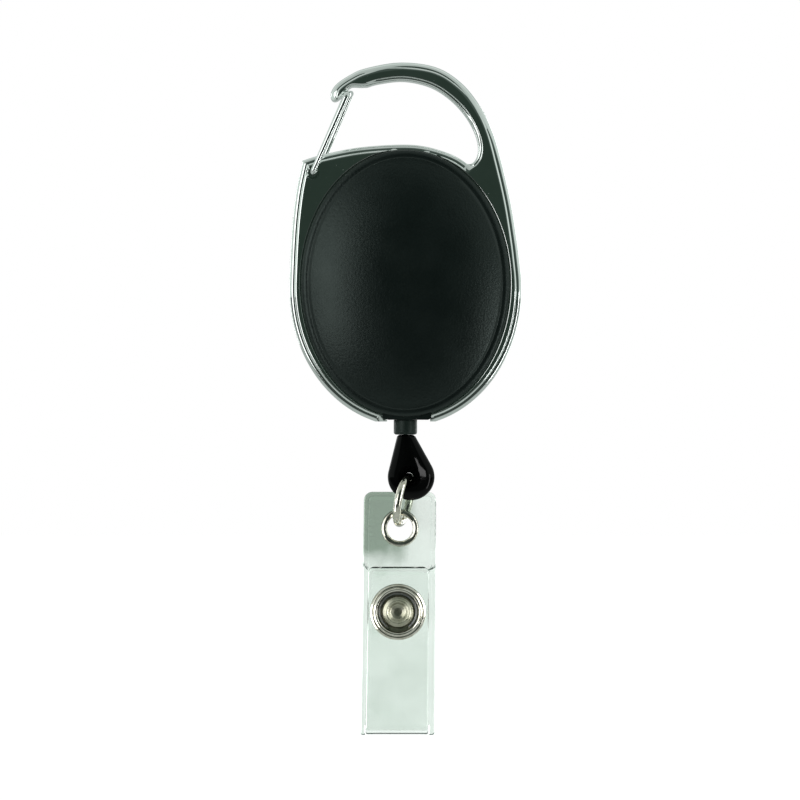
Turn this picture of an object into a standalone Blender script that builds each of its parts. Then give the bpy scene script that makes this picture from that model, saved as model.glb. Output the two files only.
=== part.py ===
"""Retractable badge reel: a snap-hook frame around an oval reel case, a cord end, a ring and a card strap.

Everything is in metres. +Z is up, the front faces -Y, and the origin is the crown of the hook's
opening, the point that the reel hangs from.
"""
import math

import bmesh
import bpy
from mathutils import Vector

MM = 0.001

# Frame
FRAME_HALF_DEPTH = 2.25 * MM
FRAME_BOTTOM_Z = -59.5 * MM
RIM_CENTRE_Z = -36.25 * MM
RIM_HALF_WIDTH = 20.34 * MM
RIM_HALF_HEIGHT = 24.06 * MM
PIVOT_BORE_RADIUS = 0.85 * MM
PIVOT_BORE_DEPTH = 1.7 * MM

# Reel case
CASE_CENTRE_Z = -35.4 * MM
COVER_HALF_WIDTH = 18.2 * MM
COVER_HALF_HEIGHT = 23.3 * MM
COVER_FIT = 0.12 * MM
LEDGE_HALF_DEPTH = 0.9 * MM
SKIRT_INSET = 1.6 * MM
WALL = 1.15 * MM
SHOULDER_Y = -3.0 * MM
DOME_Y = -6.5 * MM
DOME_EDGE = 0.915
DOME_FOOT_Y = SHOULDER_Y - 0.35 * MM
DOME_EXPONENT = 2.4
BACK_Y = 5.4 * MM
CHIN_BOTTOM_Z = -59.2 * MM
CHIN_LEFT_X = -3.1 * MM
CHIN_RIGHT_X = 4.2 * MM

# Gate wire
WIRE_RADIUS = 0.45 * MM
LEG_Y = 2.8 * MM
FRONT_PIVOT = Vector((-16.2 * MM, -LEG_Y, -16.05 * MM))
REAR_PIVOT = Vector((-15.4 * MM, LEG_Y, -15.95 * MM))
GATE_TOP_FRONT = Vector((-10.15 * MM, -LEG_Y, -2.45 * MM))
GATE_TOP_REAR = Vector((-9.45 * MM, LEG_Y, -1.85 * MM))

# Spool, cord and spring
SPOOL_RADIUS = 13.5 * MM
CUP_RADIUS = 9.2 * MM
CUP_INNER_RADIUS = 8.4 * MM
WINDING_RADIUS = 12.4 * MM
POST_RADIUS = 1.6 * MM
SPRING_TURNS = 6
SPRING_STEPS_PER_TURN = 14
SPRING_THICKNESS = 0.22 * MM
CORD_RADIUS = 0.4 * MM
GROOVE_Y = -0.4 * MM

# Guide, teardrop and ring
GUIDE_RADIUS = 2.05 * MM
GUIDE_BOTTOM_Z = -61.8 * MM
DROP_TOP = Vector((0.1 * MM, 0, -61.95 * MM))
DROP_CENTRE = Vector((1.0 * MM, 0, -69.2 * MM))
DROP_RADIUS = 4.1 * MM
DROP_HALF_DEPTH = 1.6 * MM
DROP_NECK_HALF_WIDTH = 1.5 * MM
KNOT_TOP_Z = -65.05 * MM
RING_TOP = Vector((0.6 * MM, 1.1 * MM, -69.2 * MM))
RING_BOTTOM = Vector((-1.1 * MM, 1.1 * MM, -77.3 * MM))
RING_WIRE_RADIUS = 0.7 * MM
RING_YAW = math.radians(14)

# Strap
LEAF_THICKNESS = 0.6 * MM
REAR_LEAF_Y = 2.15 * MM
FRONT_LEAF_Y = -0.25 * MM
STRAP_TOP_Z = -71.85 * MM
STRAP_BOTTOM_Z = -114.5 * MM
FOLD_CENTRE_Z = -112.8 * MM
FOLD_AXIS_Z = -114.4 * MM
TONGUE_TOP_Z = -84.9 * MM
EYELET_X = -0.98 * MM
EYELET_Z = -78.2 * MM
SNAP_X = -1.3 * MM
SNAP_Z = -92.8 * MM
SNAP_SPRING_RADIUS = 3.2 * MM
SNAP_SPRING_START = -55
SNAP_SPRING_SPAN = 290

# Colour, roughness and metallic value of each finish
FINISHES = {
    "chrome": ((0.62, 0.66, 0.64), 0.12, 1.0),
    "nickel": ((0.60, 0.58, 0.50), 0.22, 1.0),
    "steel": ((0.42, 0.43, 0.44), 0.35, 1.0),
    "black_plastic": ((0.012, 0.016, 0.016), 0.45, 0.0),
    "gloss_black": ((0.004, 0.004, 0.004), 0.08, 0.0),
    "grey_plastic": ((0.030, 0.038, 0.035), 0.4, 0.0),
    "white_plastic": ((0.55, 0.55, 0.52), 0.45, 0.0),
    "black_cord": ((0.01, 0.01, 0.011), 0.8, 0.0),
    "clear_pvc": ((0.60, 0.70, 0.64), 0.15, 0.0),
}


def finish(name):
    """The material of this name, made once."""
    found = bpy.data.materials.get(name)
    if found:
        return found
    colour, roughness, metallic = FINISHES[name]
    made = bpy.data.materials.new(name)
    made.use_nodes = True
    shader = made.node_tree.nodes["Principled BSDF"]
    shader.inputs["Base Color"].default_value = (*colour, 1)
    shader.inputs["Roughness"].default_value = roughness
    shader.inputs["Metallic"].default_value = metallic
    return made


def add_object(name, mesh, material, parent=None):
    """Link a mesh as an object; a parent empty keeps the object where it was modelled."""
    made = bpy.data.objects.new(name, mesh)
    bpy.context.collection.objects.link(made)
    if material:
        mesh.materials.append(finish(material))
    if parent:
        made.parent = parent
        made.matrix_parent_inverse = parent.matrix_world.inverted()
    return made


def joint_frame(name, location):
    """An empty on a joint's axis, which the moving piece hangs from."""
    made = bpy.data.objects.new(name, None)
    made.location = location
    bpy.context.collection.objects.link(made)
    bpy.context.view_layer.update()
    return made


def mesh_from(name, build, smooth_angle=None):
    """Run build on an empty bmesh, face its normals out and return it as a mesh."""
    work = bmesh.new()
    build(work)
    bmesh.ops.remove_doubles(work, verts=work.verts, dist=1e-7)
    bmesh.ops.recalc_face_normals(work, faces=work.faces)
    mesh = bpy.data.meshes.new(name)
    work.to_mesh(mesh)
    work.free()
    if smooth_angle:
        mesh.shade_smooth()
        mesh.set_sharp_from_angle(angle=math.radians(smooth_angle))
    return mesh


def cutter(name, mesh):
    """An object that only cuts others, and never shows."""
    made = add_object(name, mesh, None)
    made.hide_render = True
    made.display_type = "WIRE"
    return made


def boolean(target, other, operation="DIFFERENCE"):
    added = target.modifiers.new(other.name, "BOOLEAN")
    added.operation = operation
    added.object = other
    added.solver = "EXACT"


def prism_mesh(name, outline, front_y, back_y, smooth_angle=30):
    """An outline of (x, z) points, extruded along Y."""
    def build(work):
        corners = [work.verts.new((x, front_y, z)) for x, z in outline]
        face = work.faces.new(corners)
        grown = bmesh.ops.extrude_face_region(work, geom=[face])["geom"]
        moved = [item for item in grown if isinstance(item, bmesh.types.BMVert)]
        bmesh.ops.translate(work, verts=moved, vec=(0, back_y - front_y, 0))
    return mesh_from(name, build, smooth_angle)


def turned_mesh(name, profile, centre, axis, steps, smooth_angle=35):
    """A closed profile of (radius, height) points, spun about an axis through centre."""
    side = Vector((1, 0, 0)) if abs(axis.x) < 0.5 else Vector((0, 1, 0))

    def build(work):
        corners = [work.verts.new(centre + side * radius + axis * height) for radius, height in profile]
        edges = []
        for here, following in zip(corners, corners[1:] + corners[:1]):
            if max(abs((here.co - centre).dot(side)), abs((following.co - centre).dot(side))) > 1e-9:
                edges.append(work.edges.new((here, following)))
        bmesh.ops.spin(
            work, geom=corners + edges, cent=centre, axis=axis, angle=math.tau, steps=steps,
            use_merge=True, use_duplicate=False)
    return mesh_from(name, build, smooth_angle)


def rings_mesh(name, rings, steps, smooth_angle=35):
    """Ellipses (half width, half height, y) about the case's centre, bridged; the ends are points."""
    def build(work):
        loops = []
        for half_width, half_height, y in rings:
            if half_width == 0:
                loops.append([work.verts.new((0, y, CASE_CENTRE_Z))])
                continue
            loop = []
            for step in range(steps):
                turn = math.tau * step / steps
                x = half_width * math.cos(turn)
                z = CASE_CENTRE_Z + half_height * math.sin(turn)
                loop.append(work.verts.new((x, y, z)))
            loops.append(loop)
        for first, second in zip(loops, loops[1:]):
            for step in range(steps):
                after = (step + 1) % steps
                if len(first) == 1:
                    work.faces.new((first[0], second[step], second[after]))
                elif len(second) == 1:
                    work.faces.new((first[after], first[step], second[0]))
                else:
                    work.faces.new((first[after], first[step], second[step], second[after]))
    return mesh_from(name, build, smooth_angle)


def disc_profile(outer, low, high, inner=0.0, edge=0.0):
    """A washer's profile, its outer corners cut by edge."""
    if edge:
        rim = [(outer - edge, low), (outer, low + edge), (outer, high - edge), (outer - edge, high)]
    else:
        rim = [(outer, low), (outer, high)]
    return [(inner, low), *rim, (inner, high)]


def ellipse_points(centre_z, half_width, half_height, start, end, count):
    """Points of an ellipse from start to end, in degrees from +X."""
    points = []
    for step in range(count + 1):
        turn = math.radians(start + (end - start) * step / count)
        points.append((half_width * math.cos(turn), centre_z + half_height * math.sin(turn)))
    return points


def curve_through(points, per_span):
    """A smooth Catmull-Rom curve through points, ends included."""
    padded = [points[0], *points, points[-1]]
    found = []
    for index in range(len(points) - 1):
        before, start, end, after = (Vector(point) for point in padded[index:index + 4])
        for step in range(per_span):
            t = step / per_span
            found.append(tuple(0.5 * (
                2 * start + (end - before) * t
                + (2 * before - 5 * start + 4 * end - after) * t ** 2
                + (3 * start - before - 3 * end + after) * t ** 3)))
    found.append(tuple(points[-1]))
    return found


def rounded_path(points, radius, steps):
    """A 3D path with its inner corners rounded."""
    path = [points[0]]
    for before, corner, after in zip(points, points[1:], points[2:]):
        into = (before - corner).normalized()
        out = (after - corner).normalized()
        half = into.angle(out) / 2
        reach = radius / math.tan(half)
        centre = corner + (into + out).normalized() * (radius / math.sin(half))
        start = corner + into * reach - centre
        end = corner + out * reach - centre
        span = start.angle(end)
        for step in range(steps + 1):
            t = step / steps
            weight_start = math.sin((1 - t) * span) / math.sin(span)
            weight_end = math.sin(t * span) / math.sin(span)
            path.append(centre + start * weight_start + end * weight_end)
    path.append(points[-1])
    return path


def wire_object(name, points, radius, sides_level, material, parent=None, cyclic=False):
    """A round wire along points."""
    curve = bpy.data.curves.new(name, "CURVE")
    curve.dimensions = "3D"
    curve.bevel_depth = radius
    curve.bevel_resolution = sides_level
    curve.use_fill_caps = not cyclic
    spline = curve.splines.new("POLY")
    spline.points.add(len(points) - 1)
    for target, point in zip(spline.points, points):
        target.co = (*point, 1)
    spline.use_cyclic_u = cyclic
    return add_object(name, curve, material, parent)


def in_metres(points):
    return [(x * MM, z * MM) for x, z in points]


def hook_outer():
    """The outside of the frame, from the nose over the top and down the right side to the rim."""
    return curve_through(in_metres([
        (-13.2, -2.5), (-12.0, -0.45), (-9.9, 0.96), (-7.1, 2.2), (-0.9, 3.25), (5.4, 2.4), (9.9, -0.44),
        (13.2, -4.6), (15.3, -8.8), (16.9, -14.4), (18.5, -21.4), (19.7, -29.0)]), 2)


def hook_inner():
    """The hook's opening, from its left corner along the shoulder, up the right side to the nose."""
    shoulder = curve_through(in_metres([
        (-17.9, -13.9), (-15.1, -13.0), (-8.1, -11.6), (-0.2, -11.1), (4.3, -11.6), (8.7, -13.1),
        (10.8, -14.5)]), 2)
    bow = curve_through(in_metres([
        (11.9, -14.3), (12.6, -13.0), (12.7, -11.2), (12.0, -8.8), (10.4, -6.0), (7.8, -3.2), (4.3, -1.0),
        (-0.3, 0.0), (-4.6, -0.44), (-6.6, -1.0)]), 2)
    nose = in_metres([
        (-8.9, -1.0), (-9.4, -0.9), (-10.0, -1.4), (-10.9, -2.6), (-12.1, -3.65), (-12.6, -3.65),
        (-13.0, -3.2)])
    return shoulder + bow + nose


def make_frame():
    """One closed outline: the outside, the aperture for the case, and the hook's opening."""
    right_end = math.degrees(math.asin((FRAME_BOTTOM_Z - RIM_CENTRE_Z) / RIM_HALF_HEIGHT))
    right_rim = ellipse_points(RIM_CENTRE_Z, RIM_HALF_WIDTH, RIM_HALF_HEIGHT, 8, right_end, 12)
    left_rim = ellipse_points(RIM_CENTRE_Z, RIM_HALF_WIDTH, RIM_HALF_HEIGHT, 180 - right_end, 172, 12)
    aperture_width = COVER_HALF_WIDTH - SKIRT_INSET + COVER_FIT
    aperture_height = COVER_HALF_HEIGHT - SKIRT_INSET + COVER_FIT
    end_x = CHIN_RIGHT_X + COVER_FIT
    start_x = CHIN_LEFT_X - COVER_FIT
    aperture_start = -math.degrees(math.acos(end_x / aperture_width))
    aperture_end = 360 - math.degrees(math.acos(start_x / aperture_width))
    aperture = ellipse_points(
        CASE_CENTRE_Z, aperture_width, aperture_height, aperture_start, aperture_end, 40)
    left_side = curve_through(in_metres([(-20.2, -31.0), (-19.8, -24.2), (-19.0, -18.6), (-18.0, -14.1)]), 2)
    outline = (
        hook_outer() + right_rim + [(end_x, FRAME_BOTTOM_Z)] + aperture + [(start_x, FRAME_BOTTOM_Z)]
        + left_rim + left_side + hook_inner())
    frame = add_object(
        "carabiner_frame", prism_mesh("frame", outline, -FRAME_HALF_DEPTH, FRAME_HALF_DEPTH), "chrome")
    reach = 4 * FRAME_HALF_DEPTH
    for name, side in (("front", -1), ("rear", 1)):
        recess = ellipse_points(
            CASE_CENTRE_Z, COVER_HALF_WIDTH + COVER_FIT, COVER_HALF_HEIGHT + COVER_FIT, 0, 360, 44)[:-1]
        depths = sorted((side * LEDGE_HALF_DEPTH, side * reach))
        boolean(frame, cutter("recess_" + name, prism_mesh("recess_" + name, recess, *depths)))
    for name, pivot, side in (("front", FRONT_PIVOT, -1), ("rear", REAR_PIVOT, 1)):
        mouth = Vector((pivot.x, side * FRAME_HALF_DEPTH, pivot.z))
        chamfer = 0.35 * MM
        profile = [
            (0, -PIVOT_BORE_DEPTH), (PIVOT_BORE_RADIUS, -PIVOT_BORE_DEPTH),
            (PIVOT_BORE_RADIUS, -chamfer), (PIVOT_BORE_RADIUS + 2 * chamfer, chamfer), (0, chamfer)]
        bore = turned_mesh("pivot_bore", profile, mouth, Vector((0, side, 0)), 16)
        boolean(frame, cutter("pivot_bore_" + name, bore))
    return frame


def make_gate(parent):
    """Two legs that straddle the frame, joined behind the nose, with ends turned into the frame."""
    front_end = FRONT_PIVOT.copy()
    front_end.y = -FRAME_HALF_DEPTH + 1.3 * MM
    rear_end = REAR_PIVOT.copy()
    rear_end.y = FRAME_HALF_DEPTH - 1.3 * MM
    corners = [front_end, FRONT_PIVOT, GATE_TOP_FRONT, GATE_TOP_REAR, REAR_PIVOT, rear_end]
    path = rounded_path(corners, 0.7 * MM, 5)
    return wire_object("gate_wire", path, WIRE_RADIUS, 2, "chrome", parent)


def inset_ring(inset, y):
    return (COVER_HALF_WIDTH - inset, COVER_HALF_HEIGHT - inset, y)


def scaled_ring(scale, y):
    return (COVER_HALF_WIDTH * scale, COVER_HALF_HEIGHT * scale, y)


def dome_height(scale):
    """The dome's Y where its outline is this share of the cover's."""
    return DOME_Y + (DOME_FOOT_Y - DOME_Y) * (scale / DOME_EDGE) ** DOME_EXPONENT


def chin_mesh(name, low_y, high_y):
    """The part of the case that fills the gap between the frame's two ends."""
    top_z = CASE_CENTRE_Z - COVER_HALF_HEIGHT + SKIRT_INSET + 0.6 * WALL
    outline = [
        (CHIN_LEFT_X, top_z), (CHIN_LEFT_X, CHIN_BOTTOM_Z), (CHIN_RIGHT_X, CHIN_BOTTOM_Z),
        (CHIN_RIGHT_X, top_z)]
    return prism_mesh(name, outline, low_y, high_y)


SCREW_PLACES = {
    "top": (0.0, -17.3 * MM),
    "left": (-7.4 * MM, -52.0 * MM),
    "right": (7.4 * MM, -52.0 * MM),
}


def make_front_cover():
    """Shoulder, step and low dome outside; a skirt that drops through the frame."""
    rings = [(0, 0, DOME_Y)]
    for scale in (0.3, 0.55, 0.76, DOME_EDGE):
        rings.append(scaled_ring(scale, dome_height(scale)))
    rings += [
        inset_ring(1.35 * MM, SHOULDER_Y), inset_ring(0.25 * MM, SHOULDER_Y),
        inset_ring(0, SHOULDER_Y + 0.25 * MM), inset_ring(0, -LEDGE_HALF_DEPTH - 0.1 * MM),
        inset_ring(SKIRT_INSET, -LEDGE_HALF_DEPTH - 0.1 * MM), inset_ring(SKIRT_INSET, -0.06 * MM),
        inset_ring(SKIRT_INSET + WALL, -0.06 * MM), inset_ring(SKIRT_INSET + WALL, SHOULDER_Y + WALL)]
    for scale in (0.74, 0.45):
        rings.append(scaled_ring(scale, WALL + dome_height(scale)))
    rings.append((0, 0, DOME_Y + WALL))
    cover = add_object("front_cover", rings_mesh("front_cover", rings, 46), "black_plastic")
    centre = Vector((0, 0, CASE_CENTRE_Z))
    back = Vector((0, 1, 0))
    boss = turned_mesh(
        "post_boss", disc_profile(2.7 * MM, DOME_Y + 0.6 * WALL, -3.2 * MM), centre, back, 20)
    boolean(cover, cutter("post_boss", boss), "UNION")
    for place, (x, z) in SCREW_PLACES.items():
        foot = Vector((x, 0, z))
        tall = turned_mesh("screw_boss", disc_profile(1.75 * MM, -3.4 * MM, -0.14 * MM), foot, back, 14)
        boolean(cover, cutter("screw_boss_" + place, tall), "UNION")
    boolean(cover, cutter("chin_front", chin_mesh("chin_front", -FRAME_HALF_DEPTH, -0.1 * MM)), "UNION")
    boolean(cover, cutter("guide_bore_front", guide_bore_mesh()))
    socket = turned_mesh(
        "post_socket", disc_profile(POST_RADIUS + 0.08 * MM, -4.75 * MM, -3.0 * MM), centre, back, 20)
    boolean(cover, cutter("post_socket", socket))
    for place, (x, z) in SCREW_PLACES.items():
        foot = Vector((x, 0, z))
        pilot = turned_mesh("pilot", disc_profile(0.85 * MM, -2.75 * MM, 0.5 * MM), foot, back, 12)
        boolean(cover, cutter("pilot_" + place, pilot))
    return cover


def make_rear_cover():
    """The mirror of the front's skirt, with a flat back that has a soft edge."""
    rings = [
        (0, 0, BACK_Y - WALL),
        scaled_ring(0.5, BACK_Y - WALL), inset_ring(SKIRT_INSET + WALL, BACK_Y - WALL - 0.8 * MM),
        inset_ring(SKIRT_INSET + WALL, 0.06 * MM), inset_ring(SKIRT_INSET, 0.06 * MM),
        inset_ring(SKIRT_INSET, LEDGE_HALF_DEPTH + 0.1 * MM), inset_ring(0, LEDGE_HALF_DEPTH + 0.1 * MM),
        inset_ring(0, 2.75 * MM), inset_ring(0.3 * MM, 3.05 * MM), inset_ring(1.3 * MM, 4.3 * MM),
        inset_ring(2.6 * MM, 5.1 * MM), inset_ring(4.0 * MM, BACK_Y), (0, 0, BACK_Y)]
    cover = add_object("rear_cover", rings_mesh("rear_cover", rings, 46), "black_plastic")
    back = Vector((0, 1, 0))
    for place, (x, z) in SCREW_PLACES.items():
        foot = Vector((x, 0, z))
        tall = turned_mesh("column", disc_profile(1.75 * MM, 0.14 * MM, BACK_Y - 0.5 * WALL), foot, back, 14)
        boolean(cover, cutter("column_" + place, tall), "UNION")
    boolean(cover, cutter("chin_rear", chin_mesh("chin_rear", 0.1 * MM, FRAME_HALF_DEPTH)), "UNION")
    boolean(cover, cutter("guide_bore_rear", guide_bore_mesh()))
    for place, (x, z) in SCREW_PLACES.items():
        foot = Vector((x, 0, z))
        profile = [
            (0, -1.0 * MM), (0.75 * MM, -1.0 * MM), (0.75 * MM, 3.6 * MM), (1.35 * MM, 3.6 * MM),
            (1.35 * MM, BACK_Y + 1 * MM), (0, BACK_Y + 1 * MM)]
        boolean(cover, cutter("shank_" + place, turned_mesh("shank", profile, foot, back, 14)))
    post_hole = turned_mesh(
        "post_hole", disc_profile(1.3 * MM, 3.0 * MM, BACK_Y + 1 * MM), Vector((0, 0, CASE_CENTRE_Z)), back, 20)
    boolean(cover, cutter("post_hole", post_hole))
    return cover


def make_case_screws():
    """Pan-headed screws from the back."""
    for place, (x, z) in SCREW_PLACES.items():
        profile = [
            (0, -2.4 * MM), (0.35 * MM, -2.3 * MM), (0.65 * MM, -1.9 * MM), (0.65 * MM, 3.72 * MM),
            (1.25 * MM, 3.72 * MM), (1.25 * MM, 4.45 * MM), (0.9 * MM, 4.75 * MM), (0, 4.75 * MM)]
        mesh = turned_mesh("case_screw", profile, Vector((x, 0, z)), Vector((0, 1, 0)), 14)
        screw = add_object("case_screw_" + place, mesh, "steel")
        slot = prism_mesh(
            "screw_slot", [(x - 1.5 * MM, z - 0.15 * MM), (x + 1.5 * MM, z - 0.15 * MM),
                           (x + 1.5 * MM, z + 0.15 * MM), (x - 1.5 * MM, z + 0.15 * MM)],
            4.4 * MM, 5.2 * MM)
        boolean(screw, cutter("screw_slot_" + place, slot))


def make_post():
    """The slotted post, riveted in the rear cover, its slot open to the front."""
    profile = [
        (0, -4.6 * MM), (POST_RADIUS - 0.2 * MM, -4.6 * MM), (POST_RADIUS, -4.4 * MM),
        (POST_RADIUS, 3.55 * MM), (2.4 * MM, 3.55 * MM), (2.4 * MM, 4.15 * MM), (1.2 * MM, 4.15 * MM),
        (1.2 * MM, BACK_Y - 0.1 * MM), (0, BACK_Y - 0.1 * MM)]
    mesh = turned_mesh("arbor_post", profile, Vector((0, 0, CASE_CENTRE_Z)), Vector((0, 1, 0)), 20)
    post = add_object("arbor_post", mesh, "steel")
    half = 0.3 * MM
    outline = [
        (-3 * MM, CASE_CENTRE_Z - half), (3 * MM, CASE_CENTRE_Z - half), (3 * MM, CASE_CENTRE_Z + half),
        (-3 * MM, CASE_CENTRE_Z + half)]
    boolean(post, cutter("post_slot", prism_mesh("post_slot", outline, -6 * MM, 1.9 * MM)))


def make_spool(parent):
    """Cup with a web in front; two flanges outside it hold the cord."""
    centre = Vector((0, 0, CASE_CENTRE_Z))
    back = Vector((0, 1, 0))
    bore = POST_RADIUS + 0.12 * MM
    profile = [
        (bore, -2.9 * MM), (SPOOL_RADIUS - 0.2 * MM, -2.9 * MM), (SPOOL_RADIUS, -2.7 * MM),
        (SPOOL_RADIUS, -2.3 * MM), (SPOOL_RADIUS - 0.2 * MM, -2.1 * MM), (CUP_RADIUS, -2.0 * MM),
        (CUP_RADIUS, 1.2 * MM), (SPOOL_RADIUS - 0.2 * MM, 1.3 * MM), (SPOOL_RADIUS, 1.5 * MM),
        (SPOOL_RADIUS, 1.9 * MM), (SPOOL_RADIUS - 0.2 * MM, 2.1 * MM), (CUP_INNER_RADIUS, 2.1 * MM),
        (CUP_INNER_RADIUS, -1.9 * MM), (bore, -1.9 * MM)]
    spool = add_object("spool", turned_mesh("spool", profile, centre, back, 32), "white_plastic", parent)
    slot = [
        (CUP_INNER_RADIUS - 0.5 * MM, CASE_CENTRE_Z - 0.6 * MM), (CUP_RADIUS - 0.25 * MM, CASE_CENTRE_Z - 0.6 * MM),
        (CUP_RADIUS - 0.25 * MM, CASE_CENTRE_Z + 0.6 * MM), (CUP_INNER_RADIUS - 0.5 * MM, CASE_CENTRE_Z + 0.6 * MM)]
    boolean(spool, cutter("spring_notch", prism_mesh("spring_notch", slot, -1.6 * MM, 3 * MM)))
    winding = [
        (CUP_RADIUS + 0.08 * MM, -1.9 * MM), (WINDING_RADIUS - 0.4 * MM, -1.9 * MM), (WINDING_RADIUS, -1.5 * MM),
        (WINDING_RADIUS, 0.7 * MM), (WINDING_RADIUS - 0.4 * MM, 1.1 * MM), (CUP_RADIUS + 0.08 * MM, 1.1 * MM)]
    add_object("cord_winding", turned_mesh("cord_winding", winding, centre, back, 28), "black_cord", parent)
    lid = disc_profile(CUP_RADIUS, 2.2 * MM, 2.55 * MM, bore + 0.4 * MM)
    add_object("spring_cover", turned_mesh("spring_cover", lid, centre, back, 28), "steel", parent)


def make_power_spring(parent):
    """A flat spiral strip from the post's slot to the notch in the cup."""
    inner_radius = POST_RADIUS + 0.35 * MM
    outer_radius = CUP_INNER_RADIUS - 0.25 * MM
    steps = SPRING_TURNS * SPRING_STEPS_PER_TURN
    path = [(0.25 * MM, CASE_CENTRE_Z), (inner_radius - 0.15 * MM, CASE_CENTRE_Z)]
    for step in range(1, steps + 1):
        turn = math.tau * SPRING_TURNS * step / steps
        radius = inner_radius + (outer_radius - inner_radius) * step / steps
        path.append((radius * math.cos(turn), CASE_CENTRE_Z + radius * math.sin(turn)))
    path.append((CUP_RADIUS - 0.45 * MM, CASE_CENTRE_Z + 0.12 * MM))
    outline = strip_outline(path, SPRING_THICKNESS)
    mesh = prism_mesh("power_spring", outline, -1.7 * MM, 1.8 * MM, 60)
    add_object("power_spring", mesh, "steel", parent)


def strip_outline(path, thickness):
    """Both sides of a thin strip that follows path."""
    left = []
    right = []
    for index, (x, z) in enumerate(path):
        before = Vector(path[max(index - 1, 0)])
        after = Vector(path[min(index + 1, len(path) - 1)])
        along = (after - before).normalized()
        left.append((x - along.y * thickness / 2, z + along.x * thickness / 2))
        right.append((x + along.y * thickness / 2, z - along.x * thickness / 2))
    return left + right[::-1]


def make_thrust_washer():
    washer = disc_profile(4.6 * MM, 2.7 * MM, 3.4 * MM, POST_RADIUS + 0.15 * MM, 0.15 * MM)
    mesh = turned_mesh("thrust_washer", washer, Vector((0, 0, CASE_CENTRE_Z)), Vector((0, 1, 0)), 24)
    add_object("thrust_washer", mesh, "white_plastic")


def guide_bore_mesh():
    foot = Vector((0, 0, CHIN_BOTTOM_Z))
    return turned_mesh("guide_bore", disc_profile(1.5 * MM, -1 * MM, 6 * MM), foot, Vector((0, 0, 1)), 20)


def make_cord_guide():
    """A bush with a head below the chin and a flange inside the case."""
    head = GUIDE_BOTTOM_Z - CHIN_BOTTOM_Z
    profile = [
        (0.75 * MM, head), (1.7 * MM, head), (GUIDE_RADIUS, head + 0.45 * MM), (GUIDE_RADIUS, -0.1 * MM),
        (1.4 * MM, -0.1 * MM), (1.4 * MM, 3.65 * MM), (2.1 * MM, 3.65 * MM), (2.1 * MM, 4.0 * MM),
        (1.8 * MM, 4.2 * MM), (1.2 * MM, 4.2 * MM), (0.75 * MM, 3.8 * MM)]
    mesh = turned_mesh("cord_guide", profile, Vector((0, 0, CHIN_BOTTOM_Z)), Vector((0, 0, 1)), 22)
    add_object("cord_guide", mesh, "grey_plastic")


def make_pull_cord(parent):
    """From the winding, tangent to it, through the guide and down to the knot in the teardrop."""
    turn_radius = WINDING_RADIUS + CORD_RADIUS + 0.1 * MM
    corner = Vector((0, 0, CHIN_BOTTOM_Z + 5.2 * MM))
    tangent = math.acos(turn_radius / (CASE_CENTRE_Z - corner.z))
    path = []
    for step in range(6):
        turn = tangent + math.radians(30) * (1 - step / 5)
        x = turn_radius * math.sin(turn)
        z = CASE_CENTRE_Z - turn_radius * math.cos(turn)
        path.append(Vector((x, GROOVE_Y, z)))
    lead = rounded_path([path[-1], corner, Vector((0, 0, KNOT_TOP_Z + 0.05 * MM))], 1.5 * MM, 5)
    wire_object("pull_cord", path[:-1] + lead, CORD_RADIUS, 2, "black_cord", parent)
    knot = [
        (0, 0), (0.5 * MM, -0.05 * MM), (0.85 * MM, -0.45 * MM), (0.75 * MM, -0.8 * MM),
        (0.85 * MM, -1.15 * MM), (0.5 * MM, -1.6 * MM), (0, -1.7 * MM)]
    mesh = turned_mesh("cord_knot", knot, Vector((0, 0, KNOT_TOP_Z)), Vector((0, 0, 1)), 14, 80)
    add_object("cord_knot", mesh, "black_cord", parent)


def drop_edge(side, z):
    """The teardrop's left (-1) or right (+1) edge at a height: a tangent from the neck, then the circle."""
    neck_x = DROP_TOP.x + side * DROP_NECK_HALF_WIDTH
    away = Vector((neck_x - DROP_CENTRE.x, DROP_TOP.z - DROP_CENTRE.z))
    lean = math.atan2(away.y, away.x) - side * math.acos(DROP_RADIUS / away.length)
    touch_x = DROP_CENTRE.x + DROP_RADIUS * math.cos(lean)
    touch_z = DROP_CENTRE.z + DROP_RADIUS * math.sin(lean)
    if z > touch_z:
        return neck_x + (touch_x - neck_x) * (DROP_TOP.z - z) / (DROP_TOP.z - touch_z)
    across = math.sqrt(max(DROP_RADIUS ** 2 - (z - DROP_CENTRE.z) ** 2, 0))
    return DROP_CENTRE.x + side * across


def drop_half_depth(z):
    """Round at the neck, even over the middle, and rounded off at the bottom."""
    shoulder_z = DROP_CENTRE.z - 0.8 * MM
    if z >= shoulder_z:
        rise = min((DROP_TOP.z - z) / (4 * MM), 1)
        return DROP_HALF_DEPTH * (0.9 + 0.1 * rise)
    fall = (shoulder_z - z) / (shoulder_z - (DROP_CENTRE.z - DROP_RADIUS))
    return DROP_HALF_DEPTH * math.sqrt(max(1 - fall ** 2.4, 0))


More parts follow.
